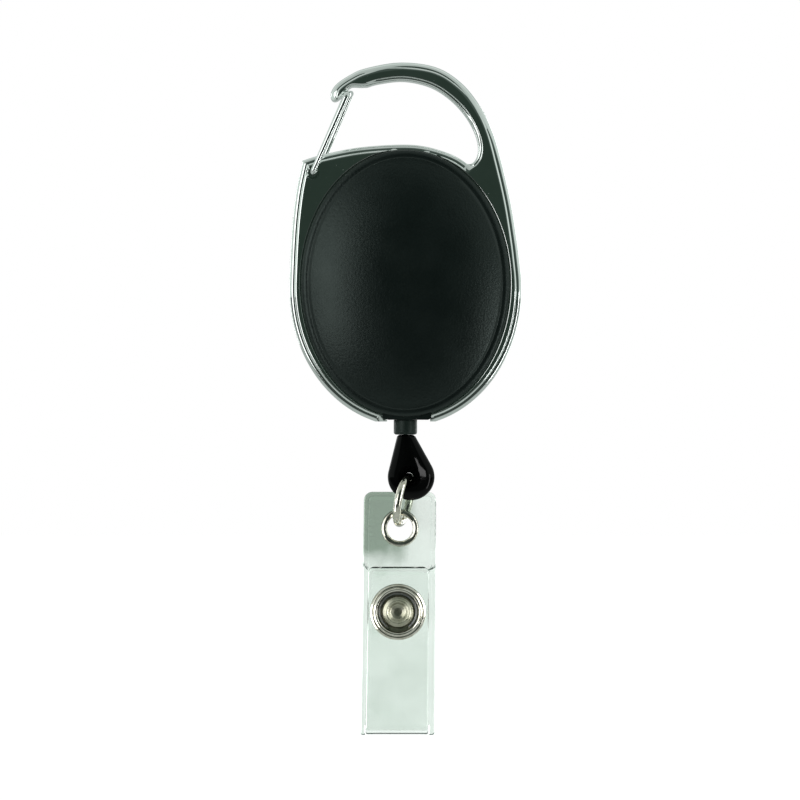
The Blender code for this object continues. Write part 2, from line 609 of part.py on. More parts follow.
def make_teardrop(parent):
    """Rounded sections down the drop, bored for the cord, pocketed for the knot, holed for the ring."""
    bottom_z = DROP_CENTRE.z - DROP_RADIUS
    sections = 11
    sides = 20

    def build(work):
        loops = []
        for index in range(sections):
            z = DROP_TOP.z + (bottom_z - DROP_TOP.z) * math.sin(math.pi / 2 * index / sections)
            left = drop_edge(-1, z)
            right = drop_edge(1, z)
            loop = []
            for step in range(sides):
                turn = math.tau * step / sides
                across = math.copysign(abs(math.cos(turn)) ** 0.8, math.cos(turn))
                deep = math.copysign(abs(math.sin(turn)) ** 0.8, math.sin(turn))
                x = (left + right) / 2 + (right - left) / 2 * across
                loop.append(work.verts.new((x, drop_half_depth(z) * deep, z)))
            loops.append(loop)
        pole = work.verts.new((DROP_CENTRE.x, 0, bottom_z))
        work.faces.new(loops[0])
        for first, second in zip(loops, loops[1:]):
            for step in range(sides):
                after = (step + 1) % sides
                work.faces.new((first[step], first[after], second[after], second[step]))
        for step in range(sides):
            work.faces.new((loops[-1][step], loops[-1][(step + 1) % sides], pole))

    drop = add_object("teardrop", mesh_from("teardrop", build, 50), "gloss_black", parent)
    down = Vector((0, 0, 1))
    bore = turned_mesh("cord_bore", disc_profile(0.65 * MM, -4 * MM, 1 * MM), Vector((0, 0, DROP_TOP.z)), down, 14)
    boolean(drop, cutter("cord_bore", bore))
    pocket_centre = Vector((0, 0, KNOT_TOP_Z - 0.85 * MM))
    pocket = turned_mesh(
        "knot_pocket", disc_profile(1.15 * MM, -1.0 * MM, 3 * MM), pocket_centre, Vector((0, 1, 0)), 18)
    boolean(drop, cutter("knot_pocket", pocket))
    throat = 1.3 * MM
    flare = 2.75 * MM
    reach = 2.2 * MM
    hole = [(0, -reach), (flare, -reach), (throat, -0.5 * MM), (throat, 0.5 * MM), (flare, reach), (0, reach)]
    centre = Vector((RING_TOP.x, 0, RING_TOP.z))
    boolean(drop, cutter("ring_hole", turned_mesh("ring_hole", hole, centre, Vector((0, 1, 0)), 22)))


def make_jump_ring(parent):
    """A wire ring through the teardrop and the eyelet, leaning and turned a little."""
    centre = (RING_TOP + RING_BOTTOM) / 2
    radius = (RING_TOP - RING_BOTTOM).length / 2
    up = (RING_TOP - centre).normalized()
    front = Vector((-math.sin(RING_YAW), -math.cos(RING_YAW), 0))
    front = (front - up * front.dot(up)).normalized()
    points = []
    count = 30
    for step in range(count):
        turn = math.tau * step / count
        points.append(centre + (up * math.cos(turn) + front * math.sin(turn)) * radius)
    wire_object("jump_ring", points, RING_WIRE_RADIUS, 2, "nickel", parent, cyclic=True)


def rounded_outline(corners, steps):
    """A closed outline of (x, z, corner radius), with each corner rounded."""
    outline = []
    count = len(corners)
    for index, (x, z, radius) in enumerate(corners):
        if radius == 0:
            outline.append((x, z))
            continue
        before = Vector((*corners[index - 1][:2], 0))
        after = Vector((*corners[(index + 1) % count][:2], 0))
        arc = rounded_path([before, Vector((x, z, 0)), after], radius, steps)[1:-1]
        outline += [(point.x, point.y) for point in arc]
    return outline


def make_strap(parent, flap_parent):
    """Rear leaf with an ear each side of the fold, the fold, and the narrower front leaf."""
    leaf_end_z = FOLD_CENTRE_Z + 0.1 * MM
    half = LEAF_THICKNESS / 2
    rear = rounded_outline([
        (-7.25 * MM, STRAP_TOP_Z, 1.5 * MM), (5.4 * MM, STRAP_TOP_Z, 1.5 * MM),
        (5.1 * MM, STRAP_BOTTOM_Z, 0.45 * MM), (4.15 * MM, STRAP_BOTTOM_Z, 0), (4.15 * MM, leaf_end_z, 0),
        (-7.1 * MM, leaf_end_z, 0), (-7.1 * MM, STRAP_BOTTOM_Z, 0), (-7.9 * MM, STRAP_BOTTOM_Z, 0.4 * MM),
    ], 5)
    leaf = add_object(
        "strap_rear_leaf", prism_mesh("rear_leaf", rear, REAR_LEAF_Y - half, REAR_LEAF_Y + half),
        "clear_pvc", parent)
    back = Vector((0, 1, 0))
    for name, x, z, radius in (
            ("eyelet_hole", EYELET_X, EYELET_Z, 2.45 * MM), ("post_barrel_hole", SNAP_X, SNAP_Z, 1.05 * MM)):
        hole = turned_mesh(name, disc_profile(radius, 0, 4 * MM), Vector((x, 0, z)), back, 28)
        boolean(leaf, cutter(name, hole))
    front = rounded_outline([
        (-6.5 * MM, TONGUE_TOP_Z, 1.1 * MM), (4.1 * MM, TONGUE_TOP_Z, 1.1 * MM),
        (3.95 * MM, leaf_end_z, 0), (-6.95 * MM, leaf_end_z, 0)], 5)
    tongue = add_object(
        "strap_front_leaf", prism_mesh("front_leaf", front, FRONT_LEAF_Y - half, FRONT_LEAF_Y + half),
        "clear_pvc", flap_parent)
    ring_hole = turned_mesh(
        "snap_ring_hole", disc_profile(3.8 * MM, -2 * MM, 1 * MM), Vector((SNAP_X, 0, SNAP_Z)), back, 32)
    boolean(tongue, cutter("snap_ring_hole", ring_hole))
    middle_y = (REAR_LEAF_Y + FRONT_LEAF_Y) / 2
    bend = (REAR_LEAF_Y - FRONT_LEAF_Y) / 2
    path = []
    steps = 14
    for step in range(steps + 1):
        turn = math.pi * step / steps
        path.append((middle_y + bend * math.cos(turn), FOLD_CENTRE_Z - bend * math.sin(turn)))
    section = strip_outline(path, LEAF_THICKNESS)

    def build(work):
        left = [work.verts.new((-6.95 * MM, y, z)) for y, z in section]
        right = [work.verts.new((3.95 * MM, y, z)) for y, z in section]
        work.faces.new(left)
        work.faces.new(right[::-1])
        for index in range(len(section)):
            after = (index + 1) % len(section)
            work.faces.new((left[index], left[after], right[after], right[index]))

    add_object("strap_fold", mesh_from("strap_fold", build, 30), "clear_pvc", parent)


def make_eyelet(parent):
    """Nickel eyelet rolled over in front, and the washer that it is clinched on behind."""
    centre = Vector((EYELET_X, 0, EYELET_Z))
    back = Vector((0, 1, 0))
    eyelet = [(r * MM, y * MM) for r, y in (
        (2.2, 1.45), (2.35, 1.22), (2.75, 1.1), (3.15, 1.25), (3.32, 1.55), (3.2, 1.78), (2.35, 1.78),
        (2.35, 2.75), (2.85, 2.75), (2.85, 2.88), (2.5, 2.96), (2.2, 2.8))]
    add_object("eyelet", turned_mesh("eyelet", eyelet, centre, back, 24), "nickel", parent)
    washer = disc_profile(3.25 * MM, 2.5 * MM, 2.68 * MM, 2.42 * MM)
    add_object("eyelet_washer", turned_mesh("eyelet_washer", washer, centre, back, 24), "nickel", parent)


def make_snap(parent, flap_parent):
    """Stud and its rivet on the rear leaf; prong ring, socket and spring on the front leaf."""
    centre = Vector((SNAP_X, 0, SNAP_Z))
    back = Vector((0, 1, 0))
    pieces = {
        "snap_stud": (parent, 18, [
            (1.0, 1.75), (3.7, 1.75), (3.9, 1.6), (3.9, 1.45), (3.7, 1.35), (1.75, 1.3), (1.5, 0.9),
            (1.7, 0.35), (1.65, 0.0), (1.3, -0.15), (1.0, -0.1)]),
        "snap_post": (parent, 20, [
            (0, 0.15), (0.75, 0.15), (0.9, 0.3), (0.9, 2.52), (4.0, 2.52), (4.05, 2.7), (3.7, 3.0),
            (2.4, 3.2), (0, 3.25)]),
        "snap_ring": (flap_parent, 26, [
            (3.58, 0.2), (3.7, 0.2), (3.7, -0.62), (4.8, -0.62), (4.93, -0.75), (4.85, -0.95), (4.4, -1.08),
            (4.3, -1.45), (4.1, -1.62), (3.85, -1.62), (3.62, -1.45)]),
        "snap_socket": (flap_parent, 22, [
            (0, -0.72), (1.25, -0.82), (1.75, -1.15), (2.1, -1.28), (2.5, -1.15), (2.85, -0.65), (2.85, 0.28),
            (4.4, 0.28), (4.45, 0.45), (4.25, 0.62), (2.0, 0.62), (2.0, -0.42), (0, -0.42)]),
    }
    for name, (owner, steps, profile) in pieces.items():
        points = [(radius * MM, y * MM) for radius, y in profile]
        add_object(name, turned_mesh(name, points, centre, back, steps), "nickel", owner)
    points = []
    count = 14
    for step in range(count + 1):
        turn = math.radians(SNAP_SPRING_START + SNAP_SPRING_SPAN * step / count)
        across = Vector((math.cos(turn), 0, math.sin(turn)))
        points.append(centre + across * SNAP_SPRING_RADIUS + back * -0.35 * MM)
    wire_object("snap_spring", points, 0.22 * MM, 1, "steel", flap_parent)


def main():
    for old in list(bpy.data.objects):
        bpy.data.objects.remove(old)
    gate_axis = joint_frame("gate_axis", (FRONT_PIVOT + REAR_PIVOT) / 2)
    spool_axis = joint_frame("spool_axis", Vector((0, 0, CASE_CENTRE_Z)))
    cord_axis = joint_frame("cord_axis", Vector((0, 0, GUIDE_BOTTOM_Z)))
    swivel_axis = joint_frame("swivel_axis", Vector((0, 0, KNOT_TOP_Z)))
    ring_axis = joint_frame("ring_axis", RING_TOP)
    strap_axis = joint_frame("strap_axis", RING_BOTTOM)
    fold_axis = joint_frame("fold_axis", Vector((0, (REAR_LEAF_Y + FRONT_LEAF_Y) / 2, FOLD_AXIS_Z)))
    make_frame()
    make_gate(gate_axis)
    make_front_cover()
    make_rear_cover()
    make_case_screws()
    make_post()
    make_thrust_washer()
    make_cord_guide()
    make_spool(spool_axis)
    make_power_spring(spool_axis)
    make_pull_cord(cord_axis)
    make_teardrop(swivel_axis)
    make_jump_ring(ring_axis)
    make_strap(strap_axis, fold_axis)
    make_eyelet(strap_axis)
    make_snap(strap_axis, fold_axis)


main()
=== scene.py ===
"""The looks of a retractable badge reel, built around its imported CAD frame.

Lengths are in millimetres until a mesh is made; MM turns them into metres. +Z is up, the front faces -Y
and the origin is the crown of the hook's opening.
"""
import math

import bmesh
import bpy
import numpy as np
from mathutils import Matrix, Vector, geometry


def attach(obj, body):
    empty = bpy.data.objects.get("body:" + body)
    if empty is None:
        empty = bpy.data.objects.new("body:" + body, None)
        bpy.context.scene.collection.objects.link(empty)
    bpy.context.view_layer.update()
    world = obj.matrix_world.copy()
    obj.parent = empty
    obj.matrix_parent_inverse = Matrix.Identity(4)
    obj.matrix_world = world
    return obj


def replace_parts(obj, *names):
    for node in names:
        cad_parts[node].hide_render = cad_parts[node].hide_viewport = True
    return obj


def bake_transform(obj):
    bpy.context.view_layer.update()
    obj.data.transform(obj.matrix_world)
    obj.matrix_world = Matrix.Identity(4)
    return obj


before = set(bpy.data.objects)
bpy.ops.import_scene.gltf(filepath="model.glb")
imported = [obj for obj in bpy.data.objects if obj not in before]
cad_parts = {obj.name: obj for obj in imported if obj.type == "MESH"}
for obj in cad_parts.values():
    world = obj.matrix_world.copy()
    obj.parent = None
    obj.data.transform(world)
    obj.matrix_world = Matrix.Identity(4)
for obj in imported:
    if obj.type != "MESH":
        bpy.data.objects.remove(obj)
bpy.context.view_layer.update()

MM = 0.001

# Frame
HALF_DEPTH = 2.25
LEDGE_HALF_DEPTH = 0.9
FRAME_BOTTOM_Z = -59.5
RIM_CENTRE_Z = -36.25
RIM_HALF_WIDTH = 20.34
RIM_HALF_HEIGHT = 24.06
OUTER_EDGE = (0.80, 0.13, 0.46)
BOW_EDGE = (0.48, 0.10, 0.26)
NOSE_EDGE = (0.32, 0.06, 0.18)
CORNER_EDGE = (0.6, 0.1, 0.3)
SMALL_EDGE = (0.25, 0, 0)
ROW_GAP = 0.06
ROW_SLACK = 0.04
MARK_ROWS = (-0.14, -0.07, 0, 0.07, 0.14)

# Reel case
CASE_CENTRE_Z = -35.4
COVER_HALF_WIDTH = 18.2
COVER_HALF_HEIGHT = 23.3
COVER_FIT = 0.12
LEDGE_GAP = 0.1
SEAM_HALF = 0.06
SKIRT_INSET = 1.6
WALL = 1.15
SHOULDER_Y = -3.0
SHOULDER_WIDTH = 1.15
DOME_Y = -6.5
DOME_EDGE = 0.915
DOME_FOOT_Y = SHOULDER_Y - 0.35
DOME_EXPONENT = 2.4
BACK_Y = 5.4
CHIN_LEFT_X = -3.1
CHIN_RIGHT_X = 4.2
CHIN_BOTTOM_Z = -59.2
OVAL_STEPS = 168
SCREW_PLACES = {"top": (0.0, -17.3), "left": (-7.4, -52.0), "right": (7.4, -52.0)}

# Gate
FRONT_PIVOT = Vector((-16.2, -2.8, -16.05))
REAR_PIVOT = Vector((-15.4, 2.8, -15.95))
GATE_TOP_FRONT = Vector((-10.15, -2.8, -2.45))
GATE_TOP_REAR = Vector((-9.45, 2.8, -1.85))
GATE_RADIUS = 0.45
BORE_RADIUS = 0.85
BORE_DEPTH = 1.7
BORE_CHAMFER = 0.35
LEG_IN_BORE = 1.3
GATE_SWELL = 0.21
GATE_SWELL_REACH = 2.0

# Cord, guide, teardrop and ring
WINDING_RADIUS = 12.4
CORD_RADIUS = 0.4
GROOVE_Y = -0.4
GUIDE_BOTTOM_Z = -61.8
DROP_TOP = Vector((0.1, 0, -61.83))
DROP_CENTRE = Vector((1.0, 0, -69.2))
DROP_RADIUS = 4.1
DROP_HALF_DEPTH = 1.6
DROP_NECK_HALF_WIDTH = 1.5
DROP_SQUARENESS = 0.85
DROP_TOP_ROUND = 0.25
DROP_TOP_ROUND_LENGTH = 0.3
KNOT_TOP_Z = -65.05
KNOT_Z = KNOT_TOP_Z - 0.85
KNOT_REACH = 0.36
KNOT_LOBE = 0.17
KNOT_STRAND = 0.26
RING_TOP = Vector((0.6, 1.1, -69.2))
RING_BOTTOM = Vector((-1.1, 1.1, -77.3))
RING_WIRE_RADIUS = 0.7
RING_YAW = math.radians(14)
RING_SEAM = math.radians(62)
RING_GAP = 0.011

# Strap
LEAF_HALF = 0.3
REAR_LEAF_Y = 2.15
FRONT_LEAF_Y = -0.25
STRAP_TOP_Z = -71.85
STRAP_BOTTOM_Z = -114.5
FOLD_CENTRE_Z = -112.8
TONGUE_TOP_Z = -84.9
EYELET = Vector((-0.98, 0, -78.2))
SNAP = Vector((-1.3, 0, -92.8))

BACK = Vector((0, 1, 0))
UP = Vector((0, 0, 1))


# ---------------------------------------------------------------- materials

def new_node(tree, kind, inputs, **settings):
    """A node with its settings, and its inputs given as values or as the outputs that feed them."""
    made = tree.nodes.new(kind)
    for name, value in settings.items():
        setattr(made, name, value)
    for name, value in inputs.items():
        if isinstance(value, bpy.types.NodeSocket):
            tree.links.new(value, made.inputs[name])
        else:
            made.inputs[name].default_value = value
    return made


def new_ramp(tree, source, stops):
    """Source coloured by (position, colour) stops."""
    made = new_node(tree, "ShaderNodeValToRGB", {"Fac": source})
    elements = made.color_ramp.elements
    while len(elements) < len(stops):
        elements.new(0.5)
    for element, (position, colour) in zip(elements, stops):
        element.position = position
        element.color = (*colour, 1)
    return made.outputs["Color"]


def new_span(tree, source, low, high, start, end):
    """Source from start to end becomes low to high."""
    ends = {"Value": source, "From Min": start, "From Max": end, "To Min": low, "To Max": high}
    return new_node(tree, "ShaderNodeMapRange", ends).outputs["Result"]


class Recipe:
    """A material under construction: its tree, its shader and short calls for the nodes in use."""

    def __init__(self, name, colour, roughness, metallic=0.0):
        self.material = bpy.data.materials.new(name)
        self.material.use_nodes = True
        self.tree = self.material.node_tree
        self.shader = self.tree.nodes["Principled BSDF"]
        self.set("Base Color", (*colour, 1))
        self.set("Roughness", roughness)
        self.set("Metallic", metallic)
        self.place = self.tree.nodes.new("ShaderNodeTexCoord").outputs["Object"]

    def set(self, name, value):
        self.shader.inputs[name].default_value = value

    def link(self, source, name):
        self.tree.links.new(source, self.shader.inputs[name])

    def paint(self, source, *stops):
        """Colour the surface by source, with (position, colour) stops."""
        self.link(new_ramp(self.tree, source, stops), "Base Color")

    def stretched(self, scale, turn=(0, 0, 0)):
        """Coordinates scaled unevenly, for brushed lines and fibres."""
        inputs = {"Vector": self.place, "Scale": scale, "Rotation": turn}
        return new_node(self.tree, "ShaderNodeMapping", inputs).outputs["Vector"]

    def noise(self, scale, detail=2.0, rough=0.5, place=None):
        inputs = {"Vector": place or self.place, "Scale": scale, "Detail": detail, "Roughness": rough}
        return new_node(self.tree, "ShaderNodeTexNoise", inputs).outputs["Fac"]

    def cells(self, scale):
        inputs = {"Vector": self.place, "Scale": scale}
        return new_node(self.tree, "ShaderNodeTexVoronoi", inputs).outputs["Distance"]

    def waves(self, scale, distortion, place):
        inputs = {"Vector": place, "Scale": scale, "Distortion": distortion}
        return new_node(self.tree, "ShaderNodeTexWave", inputs, bands_direction="X").outputs["Fac"]

    def axis(self, name):
        """The coordinate along X, Y or Z."""
        return new_node(self.tree, "ShaderNodeSeparateXYZ", {0: self.place}).outputs[name]

    def span(self, source, low, high, start=0.0, end=1.0):
        return new_span(self.tree, source, low, high, start, end)

    def maths(self, operation, first, second):
        inputs = {0: first, 1: second}
        return new_node(self.tree, "ShaderNodeMath", inputs, operation=operation).outputs["Value"]

    def patch(self, centre, reach):
        """One soft round patch about (x, z), given with its reach in millimetres: 1 at its centre."""
        wide, high = (1 / (length * MM) for length in reach)
        mapping = new_node(self.tree, "ShaderNodeMapping", {
            "Vector": self.place, "Scale": (wide, 0, high),
            "Location": (-centre[0] * MM * wide, 0, -centre[1] * MM * high)})
        inputs = {"Vector": mapping.outputs["Vector"]}
        return new_node(self.tree, "ShaderNodeTexGradient", inputs, gradient_type="SPHERICAL").outputs["Fac"]

    def bump(self, height, distance):
        """Add a bump on top of the ones already there; distance is in millimetres."""
        made = new_node(self.tree, "ShaderNodeBump", {
            "Strength": 1.0, "Distance": distance * MM, "Height": height})
        normal = self.shader.inputs["Normal"]
        if normal.is_linked:
            self.tree.links.new(normal.links[0].from_socket, made.inputs["Normal"])
        self.tree.links.new(made.outputs["Normal"], normal)


def chrome():
    """Bright plating over a die casting: faint ripple, pinholes, fine scratches and a trace of haze."""
    made = Recipe("chrome", (0.80, 0.83, 0.81), 0.05, 1.0)
    haze = made.noise(260, 3)
    made.paint(haze, (0.3, (0.74, 0.79, 0.76)), (0.7, (0.84, 0.87, 0.85)))
    scratches = made.noise(900, 2, 0.7, made.stretched((1, 1, 6), (0.3, 0.5, 0.2)))
    pinholes = made.noise(1700, 1, 0.5)
    scratched = made.span(scratches, 0, 0.06, 0.55, 0.8)
    worn = made.maths("ADD", scratched, made.span(pinholes, 0, 0.35, 0.72, 0.80))
    made.link(made.maths("ADD", made.span(haze, 0.03, 0.08), worn), "Roughness")
    made.bump(made.noise(55, 1), 0.16)
    made.bump(made.noise(420, 2), 0.003)
    made.bump(pinholes, 0.0015)
    made.bump(scratches, 0.0005)
    return made.material


def wire_chrome():
    """Bright plating on drawn wire: smooth, with faint drawing lines along it."""
    made = Recipe("wire_chrome", (0.82, 0.85, 0.83), 0.04, 1.0)
    haze = made.noise(500, 3)
    made.paint(haze, (0.3, (0.76, 0.81, 0.78)), (0.7, (0.86, 0.89, 0.87)))
    lines = made.noise(2400, 2, 0.6, made.stretched((1, 1, 0.08), (0, math.radians(-24), 0)))
    drawn = made.span(lines, 0, 0.05, 0.5, 0.8)
    made.link(made.maths("ADD", made.span(haze, 0.02, 0.05), drawn), "Roughness")
    made.bump(lines, 0.0001)
    return made.material


def nickel():
    """Warmer, softer plating on stamped parts, with tool marks."""
    made = Recipe("nickel", (0.62, 0.60, 0.52), 0.10, 1.0)
    haze = made.noise(700, 4, 0.6)
    made.paint(haze, (0.32, (0.50, 0.48, 0.39)), (0.5, (0.72, 0.70, 0.61)), (0.7, (0.82, 0.80, 0.72)))
    marks = made.noise(2600, 3, 0.7, made.stretched((1, 4, 1), (0.2, 0, 0.7)))
    marked = made.span(marks, 0, 0.10, 0.55, 0.85)
    made.link(made.maths("ADD", made.span(haze, 0.12, 0.05), marked), "Roughness")
    made.bump(made.noise(900, 2), 0.010)
    made.bump(marks, 0.002)
    return made.material


def satin_nickel():
    """The same plating over an unpolished pressing: olive, softly shiny."""
    made = Recipe("satin_nickel", (0.50, 0.49, 0.38), 0.30, 1.0)
    haze = made.noise(600, 4, 0.6)
    made.paint(haze, (0.3, (0.42, 0.42, 0.31)), (0.7, (0.62, 0.61, 0.50)))
    made.link(made.span(haze, 0.24, 0.36, 0.3, 0.7), "Roughness")
    made.bump(made.noise(2600, 3, 0.7), 0.004)
    return made.material


def steel():
    made = Recipe("steel", (0.42, 0.43, 0.44), 0.32, 1.0)
    grain = made.noise(2200, 4, 0.7, made.stretched((1, 1, 9)))
    made.paint(grain, (0.25, (0.34, 0.35, 0.36)), (0.75, (0.52, 0.53, 0.54)))
    made.link(made.span(grain, 0.24, 0.44), "Roughness")
    made.bump(grain, 0.006)
    return made.material


def case_plastic():
    """Black moulding with a fine spark-eroded grain, duller in patches."""
    made = Recipe("case_plastic", (0.004, 0.007, 0.0065), 0.34)
    patches = made.noise(140, 4, 0.6)
    made.paint(patches, (0.3, (0.0026, 0.0050, 0.0048)), (0.7, (0.0045, 0.0075, 0.0072)))
    grain = made.noise(2900, 3, 0.65)
    dull = made.span(patches, 0.28, 0.35, 0.3, 0.7)
    made.link(made.maths("ADD", dull, made.span(grain, -0.04, 0.05)), "Roughness")
    made.set("Specular IOR Level", 0.46)
    made.set("Specular Tint", (0.82, 1.0, 0.93, 1))
    made.bump(grain, 0.030)
    made.bump(made.cells(1900), 0.010)
    return made.material


def satin_plastic():
    made = Recipe("satin_plastic", (0.010, 0.017, 0.014), 0.38)
    made.set("Specular IOR Level", 0.3)
    made.set("Specular Tint", (0.85, 1.0, 0.94, 1))
    grain = made.noise(5200, 3, 0.6)
    made.paint(grain, (0.3, (0.007, 0.013, 0.011)), (0.7, (0.014, 0.022, 0.019)))
    made.link(made.span(grain, 0.30, 0.46), "Roughness")
    made.bump(grain, 0.02)
    return made.material


def gloss_plastic():
    """Polished black moulding with faint flow ripple and a few hairline scratches."""
    made = Recipe("gloss_plastic", (0.0015, 0.0016, 0.0016), 0.06)
    flow = made.noise(300, 2)
    made.paint(flow, (0.3, (0.0010, 0.0012, 0.0012)), (0.7, (0.0022, 0.0024, 0.0024)))
    hairs = made.noise(1500, 2, 0.7, made.stretched((1, 1, 8), (0.1, 0.6, 0.3)))
    made.link(made.span(hairs, 0.04, 0.14, 0.45, 0.85), "Roughness")
    made.set("Specular IOR Level", 0.12)
    made.bump(flow, 0.012)
    return made.material


def white_plastic():
    made = Recipe("white_plastic", (0.60, 0.60, 0.57), 0.42)
    grain = made.noise(3000, 3)
    made.paint(grain, (0.3, (0.52, 0.52, 0.49)), (0.7, (0.66, 0.66, 0.63)))
    made.link(made.span(grain, 0.34, 0.5), "Roughness")
    made.bump(grain, 0.01)
    return made.material


def braided_cord():
    """Black nylon braid: crossed diagonal strands with fibre in each."""
    made = Recipe("braided_cord", (0.012, 0.012, 0.013), 0.75)
    first = made.waves(1400, 0.6, made.stretched((1, 1, 1), (0, math.radians(45), 0)))
    second = made.waves(1400, 0.6, made.stretched((1, 1, 1), (0, math.radians(-45), 0)))
    strands = made.maths("MAXIMUM", first, second)
    fibre = made.noise(9000, 3, 0.7, made.stretched((1, 1, 0.3)))
    # The braid is painted darker between the strands than on their crests: painted shade in the grooves.
    made.paint(strands, (0.2, (0.004, 0.004, 0.005)), (0.9, (0.022, 0.022, 0.024)))
    made.link(made.span(fibre, 0.6, 0.9), "Roughness")
    made.bump(strands, 0.05)
    made.bump(fibre, 0.01)
    return made.material


def clear_vinyl():
    """Clear flexible PVC, faintly green, clearer on the front leaf, scuffed, and darkened beside the eyelet
    by a painted shade.
    """
    made = Recipe("clear_vinyl", (0.80, 0.87, 0.82), 0.10)
    made.set("Transmission Weight", 1.0)
    made.set("IOR", 1.5)
    cloud = made.noise(160, 3, 0.55)
    clearer = made.span(made.axis("Y"), 0.35, 0, 0.8 * MM, 1.2 * MM)
    leaf = made.maths("ADD", made.span(cloud, 0.35, 0.65, 0.3, 0.7), clearer)
    # A soft round patch beside the eyelet darkens the vinyl, down to the darkest stop below: painted shade.
    leaf_with_painted_shade = made.maths("SUBTRACT", leaf, made.patch((-5.2, -76.0), (9.5, 11.0)))
    made.paint(
        leaf_with_painted_shade, (0.0, (0.27, 0.34, 0.28)), (0.35, (0.74, 0.80, 0.755)), (0.65, (0.80, 0.86, 0.815)),
        (0.75, (0.90, 0.935, 0.91)), (1.0, (0.94, 0.965, 0.95)))
    scuffs = made.noise(1300, 3, 0.7, made.stretched((1, 1, 0.25), (0, 0.35, 0)))
    scuffed = made.span(scuffs, 0, 0.22, 0.55, 0.9)
    made.link(made.maths("ADD", made.span(cloud, 0.05, 0.13), scuffed), "Roughness")
    made.bump(made.noise(210, 2), 0.05)
    made.bump(scuffs, 0.004)
    return made.material


CHROME = chrome()
WIRE_CHROME = wire_chrome()
NICKEL = nickel()
SATIN_NICKEL = satin_nickel()
STEEL = steel()
CASE_PLASTIC = case_plastic()
SATIN_PLASTIC = satin_plastic()
GLOSS_PLASTIC = gloss_plastic()
WHITE_PLASTIC = white_plastic()
CORD = braided_cord()
VINYL = clear_vinyl()


# ---------------------------------------------------------------- meshes

def new_piece(name, points, faces, material, smooth_angle=35):
    """Points in millimetres and faces as a smooth object, welded where they meet."""
    mesh = bpy.data.meshes.new(name)
    mesh.from_pydata([tuple(float(value) * MM for value in point) for point in points], [], faces)
    mesh.materials.append(material)
    made = bpy.data.objects.new(name, mesh)
    bpy.context.scene.collection.objects.link(made)
    tidy(mesh, smooth_angle)
    return made


def tidy(mesh, smooth_angle):
    """Weld, face the normals out and shade smooth up to an angle."""
    work = bmesh.new()
    work.from_mesh(mesh)
    bmesh.ops.remove_doubles(work, verts=work.verts, dist=2e-6)
    bmesh.ops.dissolve_degenerate(work, edges=work.edges, dist=1e-7)
    bmesh.ops.recalc_face_normals(work, faces=work.faces)
    work.to_mesh(mesh)
    work.free()
    mesh.shade_smooth()
    mesh.set_sharp_from_angle(angle=math.radians(smooth_angle))


def placed(piece, body, slot, *nodes):
    """Ride on a body and stand for CAD nodes; slot is not used."""
    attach(piece, body)
    if nodes:
        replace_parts(piece, *nodes)
    return piece


def curve_through(points, per_span):
    """A smooth Catmull-Rom curve through points, ends included."""
    padded = [points[0], *points, points[-1]]
    found = []
    for index in range(len(points) - 1):
        before, start, end, after = (Vector(point) for point in padded[index:index + 4])
        for step in range(per_span):
            t = step / per_span
            found.append(tuple(0.5 * (
                2 * start + (end - before) * t
                + (2 * before - 5 * start + 4 * end - after) * t ** 2
                + (3 * start - before - 3 * end + after) * t ** 3)))
    found.append(tuple(points[-1]))
    return found


def evened(points, spacing):
    """The same line with even steps of about this length."""
    line = np.array(points, float)
    lengths = np.concatenate([[0], np.cumsum(np.linalg.norm(np.diff(line, axis=0), axis=1))])
    count = max(int(round(lengths[-1] / spacing)), 1)
    at = np.linspace(0, lengths[-1], count + 1)
    return np.stack([np.interp(at, lengths, line[:, axis]) for axis in range(line.shape[1])], axis=1)


def relaxed(line, rounds):
    """Evened-out bends; the ends stay."""
    line = line.copy()
    for _ in range(rounds):
        line[1:-1] = 0.5 * line[1:-1] + 0.25 * (line[:-2] + line[2:])
    return line


def arc_points(centre_z, half_width, half_height, start, end, count):
    """Points of an ellipse from start to end, in degrees from +X."""
    turns = np.radians(np.linspace(start, end, count + 1))
    return np.stack([half_width * np.cos(turns), centre_z + half_height * np.sin(turns)], axis=1)


def rounded_path(points, radius, steps):
    """A 3D path with its inner corners rounded; radius is one number or one for each inner corner."""
    radii = [radius] * (len(points) - 2) if isinstance(radius, (int, float)) else radius
    path = [Vector(points[0])]
    for before, corner, after, bend in zip(points, points[1:], points[2:], radii):
        into = (before - corner).normalized()
        out = (after - corner).normalized()
        half = into.angle(out) / 2
        reach = bend / math.tan(half)
        centre = corner + (into + out).normalized() * (bend / math.sin(half))
        start = corner + into * reach - centre
        end = corner + out * reach - centre
        span = start.angle(end)
        for step in range(steps + 1):
            t = step / steps
            path.append(
                centre + start * (math.sin((1 - t) * span) / math.sin(span))
                + end * (math.sin(t * span) / math.sin(span)))
    path.append(Vector(points[-1]))
    return path


def rounded_outline(corners, steps=5):
    """A closed outline of (a, b, corner radius), with each corner rounded."""
    outline = []
    count = len(corners)
    for index, (a, b, radius) in enumerate(corners):
        if radius == 0:
            outline.append((a, b))
            continue
        before = Vector((*corners[index - 1][:2], 0))
        after = Vector((*corners[(index + 1) % count][:2], 0))
        arc = rounded_path([before, Vector((a, b, 0)), after], radius, steps)[1:-1]
        outline += [(point.x, point.y) for point in arc]
    return outline


def circle(x, y, radius, count=48):
    """A closed loop of points round (x, y)."""
    turns = np.linspace(0, math.tau, count, endpoint=False)
    return np.stack([x + radius * np.cos(turns), y + radius * np.sin(turns)], axis=1)


def closed(loop):
    """A loop as a line that ends where it starts."""
    return np.vstack([loop, loop[:1]])


def band(first, second, count):
    """Quads between two closed rows of points, each given by the index where it starts."""
    faces = []
    for step in range(count):
        after = (step + 1) % count
        faces.append((first + step, first + after, second + after, second + step))
    return faces


def strips(rows, count):
    """Quads between rows that are open lines of count points each."""
    starts = [row * count + index for row in range(rows - 1) for index in range(count - 1)]
    return [(here, here + 1, here + count + 1, here + count) for here in starts]


